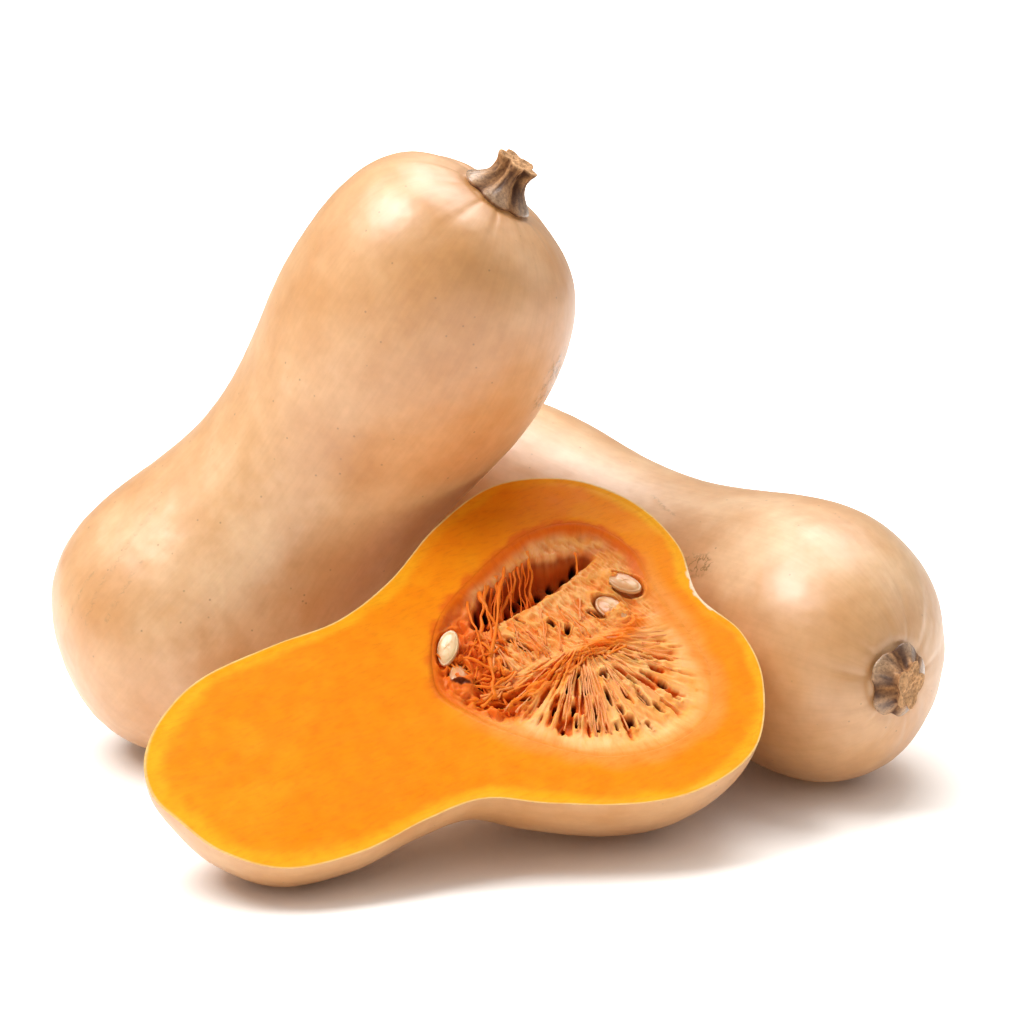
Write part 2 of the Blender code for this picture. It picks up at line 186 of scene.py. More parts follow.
# --- the stage, in metres and degrees
FLOOR_REACH = 12.0
CAMERA_PLACE, CAMERA_DOWN, CAMERA_FIELD = (0.00689, -1.13062, 0.39021), 14.37, 19.0
LAMPS = (                                         # name, place, size, share of the key's power, target
    ("key", (-0.85, -0.15, 1.5), 0.9, 1.0, (0.0, 0.0, 0.1)),
    ("left_wrap", (-1.6, 0.5, 1.1), 1.2, 0.06, (0.0, 0.0, 0.1)),
    ("right_wrap", (1.6, 0.3, 0.9), 1.2, 0.10, (0.0, 0.0, 0.1)),
    ("top", (0.25, 0.6, 1.5), 1.0, 0.60, (0.0, 0.0, 0.0)),
)


def linear(colour):
    """An sRGB hex colour as linear red, green, blue and full alpha."""
    parts = [int(colour[i:i + 2], 16) / 255.0 for i in (1, 3, 5)]
    return tuple(p / 12.92 if p <= 0.04045 else ((p + 0.055) / 1.055) ** 2.4 for p in parts) + (1.0,)


def rgb(colour):
    """The same colour as an array of three."""
    return np.array(linear(colour)[:3])


# ------------------------------------------------------------------ settings a user changes
def colour_setting(name, description, colour):
    return bpy.props.FloatVectorProperty(
        name=name, description=description, subtype="COLOR", size=3, min=0.0, max=1.0,
        default=linear(colour)[:3],
    )


def length_setting(name, description, millimetres):
    return bpy.props.FloatProperty(
        name=name, description=description, default=millimetres * MM, min=0.0, unit="LENGTH",
    )


class SquashSkinSettings(bpy.types.PropertyGroup):
    pale: colour_setting("Pale cream", "The palest cream patches", "#F3C796")
    light: colour_setting("Light tan", "The pale tan of most of the skin", "#E3AD74")
    deep: colour_setting("Deep tan", "The warmer tan of the blotches", "#D69858")
    speck: colour_setting("Speck", "The small dark freckles", "#8A5A2C")
    scar: colour_setting("Scar", "Healed corky patches", "#A87B45")
    pleat_depth: length_setting("Pleat depth", "How deep the folds by the stem are", 0.5)


class SquashFleshSettings(bpy.types.PropertyGroup):
    flesh: colour_setting("Flesh", "The bright orange of the cut flesh", "#FB8F06")
    yellow: colour_setting("Outer flesh", "The yellower flesh under the rind", "#FDAE18")
    rind_line: colour_setting("Rind line", "The cut edge of the rind", "#EFC47C")
    rind_thickness: length_setting("Rind thickness", "Width of the cut edge of the rind", 0.6)


class SquashPulpSettings(bpy.types.PropertyGroup):
    peach: colour_setting("Peach", "The pale plates of the pulp", "#FDA84E")
    orange: colour_setting("Orange", "The wet strings and the core", "#EE6A12")
    # mixed into the pulp by its depth below the cut, this colour is painted shade
    deep: colour_setting("Deep", "The hollows between them", "#9A2F04")
    strands: bpy.props.IntProperty(
        name="Strands", description="Number of loose strings over the pulp", default=170, min=0, max=600
    )


class SquashSeedSettings(bpy.types.PropertyGroup):
    coat: colour_setting("Seed coat", "The cream coat of a seed", "#F3D3A2")


class SquashStemSettings(bpy.types.PropertyGroup):
    cork: colour_setting("Cork", "The brown of the dried stem", "#A8794C")
    cut: colour_setting("Broken end", "The pale torn end of the stem", "#DDAA78")


class SquashStageSettings(bpy.types.PropertyGroup):
    floor: colour_setting("Floor", "The plain pale floor", "#F4F3F1")
    key: bpy.props.FloatProperty(
        name="Key light", description="Power of the key light", default=26.5, min=0.0, unit="POWER"
    )
    ambient: bpy.props.FloatProperty(
        name="Ambient", description="Strength of the light from all round", default=0.26, min=0.0
    )


# ------------------------------------------------------------------ arithmetic helpers
def lattice(cell, seed):
    """A repeatable number from 0 to 1 for each whole-number cell, by mixing its bits."""
    bits = cell[..., 0] * 374761393 + cell[..., 1] * 668265263 + cell[..., 2] * 2246822519
    bits = (bits + seed * 3266489917) & 0xFFFFFFFF
    bits = ((bits ^ (bits >> 13)) * 1274126177) & 0xFFFFFFFF
    bits = ((bits ^ (bits >> 16)) * 2246822519) & 0xFFFFFFFF
    return (bits & 0xFFFFFF) / float(0xFFFFFF)


def soft_noise(points, size, seed):
    """Smooth noise from -1 to 1: eight lattice numbers blended by an eased place in the cell."""
    scaled = np.asarray(points, dtype=float) / size
    base = np.floor(scaled).astype(np.int64)
    part = scaled - base
    part = part * part * (3.0 - 2.0 * part)
    total = np.zeros(scaled.shape[:-1])
    for corner in np.ndindex(2, 2, 2):
        corner = np.array(corner)
        weight = np.prod(np.where(corner == 1, part, 1.0 - part), axis=-1)
        total += weight * lattice(base + corner, seed)
    return total * 2.0 - 1.0


def layered_noise(points, size, seed, layers=3):
    """Soft noise with finer, weaker noise added, each layer half the size and half the height."""
    return sum(soft_noise(points, size / 2 ** k, seed + 7 * k) / 2 ** k for k in range(layers))


def eased(value, low, high):
    """0 below low, 1 above high, and a smooth step between."""
    part = np.clip((value - low) / (high - low), 0.0, 1.0)
    return part * part * (3.0 - 2.0 * part)


def bell(value, width, centre=0.0):
    """1 at the centre and fading on both sides: a Gaussian of the given width."""
    return np.exp(-((value - centre) / width) ** 2)


def stack(*parts):
    """Arrays side by side as the coordinates of points."""
    return np.stack(parts, axis=-1)


def flat_points(x, y):
    """Points of the cut plane as noise coordinates."""
    return stack(x, y, np.zeros_like(x))


def curve_distance(x, y, curve, closed=True):
    """Distance in mm from each point to the nearest straight piece of a curve."""
    ends = np.roll(curve, -1, axis=0) if closed else curve[1:]
    starts = curve if closed else curve[:-1]
    nearest = np.full(x.shape, np.inf)
    for start, end in zip(starts, ends):
        step = end - start
        place = np.clip(((x - start[0]) * step[0] + (y - start[1]) * step[1]) / (step @ step), 0.0, 1.0)
        gap = np.hypot(x - start[0] - place * step[0], y - start[1] - place * step[1])
        nearest = np.minimum(nearest, gap)
    return nearest


def inside_curve(x, y, curve):
    """True where a ray from the point crosses the closed curve an odd number of times."""
    inside = np.zeros(x.shape, dtype=bool)
    for (x0, y0), (x1, y1) in zip(curve, np.roll(curve, -1, axis=0)):
        if y0 == y1:
            continue
        crosses = (y0 > y) != (y1 > y)
        inside ^= crosses & (x < (x1 - x0) * (y - y0) / (y1 - y0) + x0)
    return inside


def smooth_loop(points, steps):
    """A closed Catmull-Rom curve through the points."""
    knots = np.array(points, dtype=float)
    before, after, later = (np.roll(knots, shift, axis=0) for shift in (1, -1, -2))
    u = (np.arange(steps) / steps)[None, :, None]
    p0, p1, p2, p3 = (array[:, None, :] for array in (before, knots, after, later))
    curve = 0.5 * (
        2.0 * p1 + (p2 - p0) * u + (2.0 * p0 - 5.0 * p1 + 4.0 * p2 - p3) * u ** 2
        + (3.0 * p1 - p0 - 3.0 * p2 + p3) * u ** 3
    )
    return curve.reshape(-1, knots.shape[1])


def spread(curve, fractions):
    """Points at the given fractions of an open curve's length."""
    steps = np.linalg.norm(np.diff(curve, axis=0), axis=1)
    length = np.concatenate([[0.0], np.cumsum(steps)])
    length /= length[-1]
    return np.stack([np.interp(fractions, length, curve[:, k]) for k in range(curve.shape[1])], axis=1)


# ------------------------------------------------------------------ meshes
def axis_frame(turn):
    """A fruit's axis and the two directions across it, as the columns of a turn."""
    yaw, pitch, roll = np.radians(turn)
    along = np.array((np.cos(pitch) * np.cos(yaw), np.cos(pitch) * np.sin(yaw), np.sin(pitch)))
    level = np.cross((0.0, 0.0, 1.0), along)
    level /= np.linalg.norm(level)
    across = level * np.cos(roll) + np.cross(along, level) * np.sin(roll)
    return np.stack([along, across, np.cross(along, across)], axis=1)


def set_down(points, fruit):
    """Points of a fruit's own frame in the group's millimetres, pressed flat on the ground."""
    placed = points @ axis_frame(fruit["turn"]).T + np.array(fruit["centre"]) + GROUP_SHIFT
    placed[..., 2] = np.maximum(placed[..., 2], 0.0)
    return placed


def grid_faces(table, wrap):
    """Quads between neighbouring rows of a table of point numbers."""
    following = np.roll(table, -1, axis=1) if wrap else table[:, 1:]
    here = table if wrap else table[:, :-1]
    return stack(here[:-1], following[:-1], following[1:], here[1:]).reshape(-1, 4)


def fan_faces(ring, tip):
    """Triangles from a closed ring of point numbers to one tip, as quads that repeat the tip."""
    following = np.roll(ring, -1)
    tips = np.full_like(ring, tip)
    return stack(ring, following, tips, tips)


def capped_faces(points, table, away_from):
    """A closed grid's faces, with its first and last rings drawn to the last two points."""
    faces = [grid_faces(table, True)]
    faces += [fan_faces(table[0][::-1], len(points) - 2), fan_faces(table[-1], len(points) - 1)]
    return facing(points, np.concatenate(faces), away_from)


def facing(points, faces, away_from):
    """The faces turned as a set so that they look away from the given points."""
    a, b, c = points[faces[:, 0]], points[faces[:, 1]], points[faces[:, 2]]
    normal = np.cross(b - a, c - a)
    agree = np.sum(normal * ((a + b + c) / 3.0 - away_from))
    return faces if agree > 0.0 else faces[:, ::-1]


def grid_normals(grid, wrap):
    """Unit normals of a grid of points: the cross product of its two directions of change."""
    if wrap:
        padded = np.concatenate([grid[:, -1:], grid, grid[:, :1]], axis=1)
        sideways = np.gradient(padded, axis=1)[:, 1:-1]
    else:
        sideways = np.gradient(grid, axis=1)
    normal = np.cross(np.gradient(grid, axis=0), sideways)
    return normal / np.maximum(np.linalg.norm(normal, axis=-1, keepdims=True), 1e-9)


def make_object(name, points, faces, materials, slots=None, attributes=None, sharp_loop=0):
    """A mesh object from points in mm and quads; a quad whose last two corners agree is a triangle."""
    mesh = bpy.data.meshes.new(name)
    triangle = (faces[:, 2] == faces[:, 3]) | (faces[:, 0] == faces[:, 1])
    corners = np.where(triangle, 3, 4)
    keep = np.ones(faces.shape, dtype=bool)
    keep[:, 3] = ~(faces[:, 2] == faces[:, 3])
    keep[:, 0] = ~(faces[:, 0] == faces[:, 1])
    loops = faces[keep]
    starts = np.concatenate([[0], np.cumsum(corners)[:-1]])
    mesh.vertices.add(len(points))
    mesh.vertices.foreach_set("co", (points * MM).astype(np.float32).ravel())
    mesh.loops.add(len(loops))
    mesh.loops.foreach_set("vertex_index", loops.astype(np.int32))
    mesh.polygons.add(len(faces))
    mesh.polygons.foreach_set("loop_start", starts.astype(np.int32))
    for material in materials:
        mesh.materials.append(material)
    if slots is not None:
        mesh.polygons.foreach_set("material_index", slots.astype(np.int32))
    mesh.update(calc_edges=True)
    mesh.shade_smooth()
    for label, values in (attributes or {}).items():
        kind = {1: "FLOAT", 3: "FLOAT_VECTOR", 4: "FLOAT_COLOR"}[1 if values.ndim == 1 else values.shape[1]]
        layer = mesh.attributes.new(label, kind, "POINT")
        field = {"FLOAT": "value", "FLOAT_VECTOR": "vector", "FLOAT_COLOR": "color"}[kind]
        layer.data.foreach_set(field, values.astype(np.float32).ravel())
    if sharp_loop:
        ends = np.empty(len(mesh.edges) * 2, dtype=np.int32)
        mesh.edges.foreach_get("vertices", ends)
        ends = ends.reshape(-1, 2)
        step = np.abs(ends[:, 0] - ends[:, 1])
        sharp = (ends.max(axis=1) < sharp_loop) & ((step == 1) | (step == sharp_loop - 1))
        mesh.attributes.new("sharp_edge", "BOOLEAN", "EDGE").data.foreach_set("value", sharp)
    item = bpy.data.objects.new(name, mesh)
    bpy.context.scene.collection.objects.link(item)
    return item


def hand_over(item, slot, *nodes):
    """Let a finished piece ride on the body and stand for its CAD nodes; the slot is not used."""
    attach(item, "root")
    if nodes:
        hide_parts(*nodes)


def with_alpha(colours):
    return np.concatenate([colours, np.ones(colours.shape[:-1] + (1,))], axis=-1).reshape(-1, 4)


def mixed(first, second, share):
    """Colours between two, by a share from 0 to 1 at each point."""
    share = np.asarray(share)[..., None]
    return first * (1.0 - share) + second * share


# ------------------------------------------------------------------ materials
def plug(tree, node, values):
    """Fill a node's sockets: a fixed value is set, another node's socket is linked."""
    for key, value in values.items():
        if isinstance(value, bpy.types.NodeSocket):
            tree.links.new(value, node.inputs[key])
        else:
            node.inputs[key].default_value = value


def add(tree, kind, values=None, stops=(), **settings):
    """Add one node with its settings, its sockets' values and its ramp's stops."""
    node = tree.nodes.new(kind)
    for name, value in settings.items():
        setattr(node, name, value)
    plug(tree, node, values or {})
    if stops:
        elements = node.color_ramp.elements
        elements[0].position, elements[0].color = stops[0]
        elements[1].position, elements[1].color = stops[-1]
        for place, colour in stops[1:-1]:
            elements.new(place).color = colour
    return node


def noise(tree, place, scale, detail, roughness=0.5):
    """Cloudy grey values at a place."""
    values = {"Vector": place, "Scale": scale, "Detail": detail, "Roughness": roughness}
    return add(tree, "ShaderNodeTexNoise", values).outputs["Fac"]


def ramp(tree, value, *stops):
    """The colour for a grey value, between stops of (value, colour)."""
    return add(tree, "ShaderNodeValToRGB", {"Fac": value}, stops).outputs["Color"]


def blend(tree, share, base, over, mode="MIX"):
    """One colour over another, by a share."""
    values = {0: share, 6: base, 7: over}
    return add(tree, "ShaderNodeMix", values, data_type="RGBA", blend_type=mode).outputs[2]


def rescale(tree, value, low, high, start, end, **settings):
    """A value carried from the range low to high into the range start to end."""
    values = {0: value, 1: low, 2: high, 3: start, 4: end}
    return add(tree, "ShaderNodeMapRange", values, **settings).outputs[0]


def reckon(tree, operation, *values):
    """One step of arithmetic on grey values."""
    return add(tree, "ShaderNodeMath", dict(enumerate(values)), operation=operation).outputs[0]


def painted(tree, name, kind="Fac"):
    """What the mesh's points carry under a name."""
    return add(tree, "ShaderNodeAttribute", attribute_name=name).outputs[kind]


def bumps(tree, height, strength, distance, **under):
    """Fine relief from grey values, over another layer of it if one is given."""
    values = {"Height": height, "Strength": strength, "Distance": distance, **under}
    return add(tree, "ShaderNodeBump", values).outputs["Normal"]


def new_surface(name):
    """A material with its tree, its shader and its Object coordinates."""
    material = bpy.data.materials.new(name)
    material.use_nodes = True
    tree = material.node_tree
    place = add(tree, "ShaderNodeTexCoord").outputs["Object"]
    return material, tree, tree.nodes["Principled BSDF"], place


def per(millimetres):
    """The scale that makes a pattern on Object coordinates repeat every so many mm."""
    return 1.0 / (millimetres * MM)


BLACK, WHITE = (0.0, 0.0, 0.0, 1.0), (1.0, 1.0, 1.0, 1.0)


def waxed_rind(settings):
    """Butternut rind, grown smooth under a thin natural wax.

    The eye sees a soft satin sheen, warm blotches, faint streaks along the fruit and fine freckles.
    """
    material, tree, shader, place = new_surface("waxed_butternut_rind")
    pale, light, deep = (*settings.pale, 1.0), (*settings.light, 1.0), (*settings.deep, 1.0)
    blotch = noise(tree, place, per(34), 4.0, 0.55)
    blotch = reckon(tree, "MULTIPLY_ADD", painted(tree, "warmth"), 0.20, blotch)
    colour = ramp(tree, blotch, (0.22, pale), (0.42, light), (0.68, deep))
    fine = noise(tree, place, per(5.5), 5.0, 0.6)
    fine = ramp(tree, fine, (0.35, (0.94, 0.91, 0.87, 1)), (0.62, (1.03, 1.03, 1.03, 1)))
    colour = blend(tree, 0.8, colour, fine, "MULTIPLY")
    streak = noise(tree, painted(tree, "grain", "Vector"), 1.0 / 1.7, 3.0, 0.6)
    streak = ramp(tree, streak, (0.36, (0.93, 0.90, 0.85, 1)), (0.6, WHITE))
    colour = blend(tree, 0.55, colour, streak, "MULTIPLY")
    freckle = add(tree, "ShaderNodeTexVoronoi", {"Vector": place, "Scale": per(5.0), "Randomness": 1.0})
    dot = ramp(tree, freckle.outputs["Distance"], (0.05, WHITE), (0.11, BLACK))
    chance = add(tree, "ShaderNodeSeparateColor", {"Color": freckle.outputs["Color"]}).outputs["Red"]
    dot = reckon(tree, "MULTIPLY", dot, reckon(tree, "GREATER_THAN", chance, 0.62))
    dot = reckon(tree, "MULTIPLY", dot, 0.55)
    colour = blend(tree, dot, colour, (*settings.speck, 1.0))
    vein = reckon(tree, "SUBTRACT", noise(tree, place, per(4.0), 2.0, 0.6), 0.5)
    vein = rescale(tree, reckon(tree, "ABSOLUTE", vein), 0.01, 0.05, 1.0, 0.18)
    vein = reckon(tree, "MULTIPLY", vein, painted(tree, "scar"))
    colour = blend(tree, vein, colour, (*settings.scar, 1.0))
    dimple = {"Vector": place, "Scale": per(4.2), "Smoothness": 1.0}
    dimple = add(tree, "ShaderNodeTexVoronoi", dimple, feature="SMOOTH_F1").outputs["Distance"]
    dimpled = bumps(tree, dimple, 0.40, 0.0004)
    plug(tree, shader, {
        "Base Color": colour,
        "Roughness": rescale(tree, noise(tree, place, per(9.0), 3.0), 0.3, 0.7, 0.40, 0.50),
        "Normal": bumps(tree, noise(tree, place, per(0.9), 3.0), 0.25, 0.00005, Normal=dimpled),
        "IOR": 1.45, "Specular IOR Level": 0.8,
        "Subsurface Weight": 0.10, "Subsurface Radius": (1.0, 0.45, 0.2), "Subsurface Scale": 0.003,
        "Coat Weight": 0.9, "Coat Roughness": 0.42, "Coat IOR": 1.65,
    })
    return material


def moist_tissue(name, fibre_mm, wet, translucence, relief):
    """Raw squash tissue, cut or torn and still moist; its tint is painted on its points.

    The eye sees a wet glint on fine fibres and light that soaks a few millimetres in.
    """
    material, tree, shader, place = new_surface(name)
    fibre = noise(tree, painted(tree, "fibre", "Vector"), 1.0 / fibre_mm, 5.0, 0.65)
    pale = ramp(
        tree, fibre, (0.32, (0.88, 0.80, 0.66, 1)), (0.50, WHITE), (0.70, (1.0, 1.06, 1.30, 1))
    )
    colour = blend(tree, 0.75, painted(tree, "tint", "Color"), pale, "MULTIPLY")
    mottle = noise(tree, place, per(7.0), 4.0)
    mottle = ramp(tree, mottle, (0.35, (0.96, 0.88, 0.75, 1)), (0.62, (1.0, 1.03, 1.1, 1)))
    gritty = bumps(tree, noise(tree, place, per(0.8), 4.0, 0.6), 0.4, relief * MM)
    plug(tree, shader, {
        "Base Color": blend(tree, 0.7, colour, mottle, "MULTIPLY"),
        "Roughness": rescale(tree, fibre, 0.3, 0.7, wet + 0.16, wet - 0.04),
        "Normal": bumps(tree, fibre, 0.4, relief * MM * 1.6, Normal=gritty),
        "IOR": 1.36, "Specular IOR Level": 0.16, "Subsurface Weight": translucence,
        "Subsurface Radius": (1.0, 0.42, 0.12), "Subsurface Scale": 0.004,
        "Coat Weight": 0.03, "Coat Roughness": 0.22,
    })
    return material


def dried_seed_coat(settings):
    """A squash seed's papery coat, dried smooth: cream, slightly glossy, with faint mottling."""
    material, tree, shader, place = new_surface("papery_seed_coat")
    pale, deep = np.array(settings.coat), np.array(settings.coat) * (0.90, 0.78, 0.60)
    cloud = noise(tree, place, per(2.5), 4.0)
    colour = ramp(tree, cloud, (0.36, (*deep, 1.0)), (0.60, (*pale, 1.0)))
    colour = blend(tree, painted(tree, "juice"), colour, linear("#D9935A"))
    edge = reckon(tree, "MULTIPLY", painted(tree, "margin"), 0.55)
    plug(tree, shader, {
        "Base Color": blend(tree, edge, colour, linear("#B98B4E")), "Roughness": 0.34,
        "Subsurface Weight": 0.15, "Subsurface Scale": 0.002, "Coat Weight": 0.3, "Coat Roughness": 0.2,
    })
    return material


def dried_cork_stem():
    """A cut fruit stalk, dried woody: matt cork on the ridges, polished tan on the foot's lobes."""
    material, tree, shader, place = new_surface("dried_corky_stem")
    cork = noise(tree, place, per(1.1), 6.0, 0.7)
    shade = ramp(
        tree, cork,
        (0.34, (0.45, 0.38, 0.30, 1)), (0.52, (0.95, 0.92, 0.88, 1)), (0.68, (1.25, 1.22, 1.15, 1)),
    )
    polish = painted(tree, "polish")
    plug(tree, shader, {
        "Base Color": blend(tree, 0.85, painted(tree, "tint", "Color"), shade, "MULTIPLY"),
        "Roughness": rescale(tree, polish, 0.0, 1.0, 0.85, 0.28),
        "Normal": bumps(tree, cork, 0.7, 0.0004), "Coat Weight": polish, "Coat Roughness": 0.25,
    })
    return material


def painted_glow_sweep(settings):
    """Matt white paper with a painted glow: it glows faintly where nothing stands near, so only soft
    shadows show, and the glow fades by ambient occlusion where a fruit stands near, a painted shadow.

    The eye sees plain white with a darker patch, partly painted shadow, where a fruit meets it.
    """
    material, tree, shader, place = new_surface("painted_glow_sweep")
    away = add(tree, "ShaderNodeVectorMath", {0: place}, operation="LENGTH").outputs["Value"]
    glow = rescale(tree, away, 0.40, 1.4, 0.0, 0.7, interpolation_type="SMOOTHSTEP")
    # painted shadow: the glow fades by ambient occlusion close to the fruit
    ao_for_painted_shadow = add(tree, "ShaderNodeAmbientOcclusion", {"Distance": 0.05}, samples=8).outputs["AO"]
    glow = reckon(tree, "ADD", reckon(tree, "POWER", ao_for_painted_shadow, 2.4), glow)
    glow_boost_for_camera = add(tree, "ShaderNodeLightPath").outputs["Is Camera Ray"]
    # painted light: the glow is warm-tinted so the painted shadows are warm, and the camera sees it
    # stronger than the fruit are lit by it
    plug(tree, shader, {
        "Base Color": (*settings.floor, 1.0), "Roughness": 0.9,
        "Emission Color": (1.0, 0.94, 0.88, 1.0),
        "Emission Strength": reckon(tree, "MULTIPLY", glow, rescale(tree, glow_boost_for_camera, 0.0, 1.0, 0.35, 1.0)),
    })
    return material


# ------------------------------------------------------------------ whole fruits
def station_radius(radii, t):
    """Radius along a whole fruit: a half-circle envelope times a smooth swelling curve."""
    stations = np.array(STATIONS)
    swelling = np.array(radii) / (2.0 * np.sqrt(stations * (1.0 - stations)))
    curve = np.polyfit(stations, swelling, len(stations) - 1)
    return 2.0 * np.sqrt(np.clip(t * (1.0 - t), 0.0, 1.0)) * np.polyval(curve, t)


def station_axis(fruit, t):
    """The bent centre line of a whole fruit, in mm."""
    along = (t - 0.5) * fruit["length"]
    return stack(along, fruit["bend"] * (4.0 * t * (1.0 - t) - 0.5), np.zeros_like(along))


def stem_foot(fruit):
    """Centre of the stem's foot on the fruit, in the fruit's frame, in mm."""
    return station_axis(fruit, np.array(fruit["stem"]["at"])) + np.array((0.0, *fruit["stem"]["aside"]))


def skin_relief(fruit, grid, t, angle, pleat_depth):
    """Height of the living skin over its plain form, in mm.

    Slow swells, shallow hammered dimples on the bulb, faint ribs, and folds that run out from
    the stem: narrow valleys of a wavy cosine of the bearing, fading with the distance.
    """
    offset = grid - stem_foot(fruit)
    reach = np.linalg.norm(offset, axis=-1)
    bearing = np.arctan2(offset[..., 2], offset[..., 1])
    seed = fruit["seed"]
    swell = 0.45 * soft_noise(grid, 46.0, seed) + 0.22 * soft_noise(grid, 19.0, seed + 1)
    bulb = 1.0 - 0.6 * eased(t, 0.35, 0.6)
    dimples = 0.13 * bulb * soft_noise(grid, 6.0, seed + 2) + 0.05 * soft_noise(grid, 3.0, seed + 3)
    ribs = 0.35 * np.cos(10.0 * angle + 0.6 * np.sin(3.0 * angle)) * np.sin(np.pi * t) ** 0.5
    ribs *= 0.4 + eased(t, 0.7, 1.0)
    wavy = 11.0 * bearing + 0.9 * np.sin(2.0 * bearing + seed) + 0.5 * np.sin(5.0 * bearing)
    valley = (0.5 + 0.5 * np.cos(wavy)) ** 5
    fold = eased(reach, 11.0, 18.0) * bell(reach, 22.0, 14.0)
    fold *= 0.6 + 0.4 * soft_noise(grid, 9.0, seed + 4)
    sink = 0.5 * bell(reach, 22.0) + 0.7 * bell(reach, 1.8, fruit["stem"]["foot"])
    return swell + dimples + ribs - pleat_depth * valley * fold - sink


def skin_warmth(fruit, t, angle):
    """How much warmer or paler each patch of skin is than the rest: a sum of soft round bumps."""
    warmth = np.zeros(t.shape)
    for station, bearing, along, around, amount in fruit["patches"]:
        turn = np.angle(np.exp(1j * (angle - bearing))) * station_radius(fruit["radii"], t)
        warmth += amount * np.exp(-((t - station) * fruit["length"] / along) ** 2 - (turn / around) ** 2)
    return warmth


def scar_mask(fruit, grid, t, angle):
    """1 in the healed patches: ellipses in mm along and around the skin, with ragged edges."""
    mask = np.zeros(t.shape)
    for station, bearing, along, around in fruit["scars"]:
        turn = np.angle(np.exp(1j * (angle - bearing))) * station_radius(fruit["radii"], t)
        far = np.hypot((t - station) * fruit["length"] / along, turn / around)
        mask = np.maximum(mask, 1.0 - eased(far + 0.35 * soft_noise(grid, 3.0, 91), 0.65, 1.1))
    skin_x = t * fruit["length"]
    skin_y = np.angle(np.exp(1j * (angle - SCRATCH_SIDE))) * SCRATCH_RADIUS
    for ends in fruit["scratches"]:
        line = np.array(ends, dtype=float) - (0.0, SCRATCH_SIDE)
        line = line * (fruit["length"], SCRATCH_RADIUS)
        gap = curve_distance(skin_x, skin_y + 1.2 * soft_noise(grid, 9.0, 94), line, closed=False)
        mask = np.maximum(mask, 0.55 * (1.0 - eased(gap, 0.3, 1.1)))
    blossom = np.linalg.norm(grid - station_axis(fruit, np.array(0.0)), axis=-1)
    return np.maximum(mask, 1.0 - eased(blossom + 1.2 * soft_noise(grid, 2.5, 92), 5.0, 8.0))


def make_skin(name, fruit, material, pleat_depth):
    """A whole skin: rings round the bent axis, their radius a function of station and angle."""
    stations = (1.0 - np.cos(np.linspace(SKIN_END * np.pi, (1.0 - SKIN_END) * np.pi, ALONG))) / 2.0
    t, angle = np.meshgrid(stations, np.arange(AROUND) * (2.0 * np.pi / AROUND), indexing="ij")
    radius = station_radius(fruit["radii"], t)
    ring = stack(np.zeros_like(t), radius * np.cos(angle), radius * np.sin(angle))
    grid = station_axis(fruit, t) + ring
    normal = grid_normals(grid, True)
    normal *= np.sign(np.sum(normal * ring))
    scar = scar_mask(fruit, grid, t, angle)
    relief = skin_relief(fruit, grid, t, angle, pleat_depth)
    relief += scar * (0.25 * soft_noise(grid, 1.8, 93) + 0.1)
    grid = grid + normal * relief[..., None]
    poles = np.stack([grid[0].mean(axis=0), grid[-1].mean(axis=0)])
    points = np.concatenate([grid.reshape(-1, 3), poles])
    run = fruit["length"] * GRAIN_ALONG
    grain = stack(GRAIN_AROUND * np.cos(angle), GRAIN_AROUND * np.sin(angle), t * run)
    grain = np.concatenate([grain.reshape(-1, 3), [[0.0, 0.0, 0.0], [0.0, 0.0, run]]])
    scar = np.concatenate([scar.ravel(), [1.0, 0.0]])
    warmth = np.concatenate([skin_warmth(fruit, t, angle).ravel(), [0.0, 0.0]])
    table = np.arange(ALONG * AROUND).reshape(ALONG, AROUND)
    faces = capped_faces(points, table, points.mean(axis=0))
    attributes = {"grain": grain, "scar": scar, "warmth": warmth}
    return make_object(name, set_down(points, fruit), faces, [material], None, attributes)


# ------------------------------------------------------------------ the cut half
def half_edges():
    """The cut face's upper and lower edges, each from the stem end to the blossom scar."""
    steps = 24
    curve = smooth_loop(HALF_OUTLINE, steps)
    scar = BLOSSOM_POINT * steps
    lower = np.concatenate([curve[scar:], curve[:1]])[::-1]
    fractions = (1.0 - np.cos(np.linspace(0.0, np.pi, HALF_ROWS + 2))) / 2.0
    fractions = 0.5 * fractions + 0.5 * np.linspace(0.0, 1.0, HALF_ROWS + 2)
    return spread(curve[: scar + 1], fractions), spread(lower, fractions)


def rim_reach(bearing):
    """Distance from the cavity's centre to its rim at a bearing."""
    rim = smooth_loop(CAVITY_RIM, 16) - CAVITY_CENTRE
    angles = np.arctan2(rim[:, 1], rim[:, 0])
    order = np.argsort(angles)
    return np.interp(bearing, angles[order], np.linalg.norm(rim, axis=1)[order], period=2.0 * np.pi)


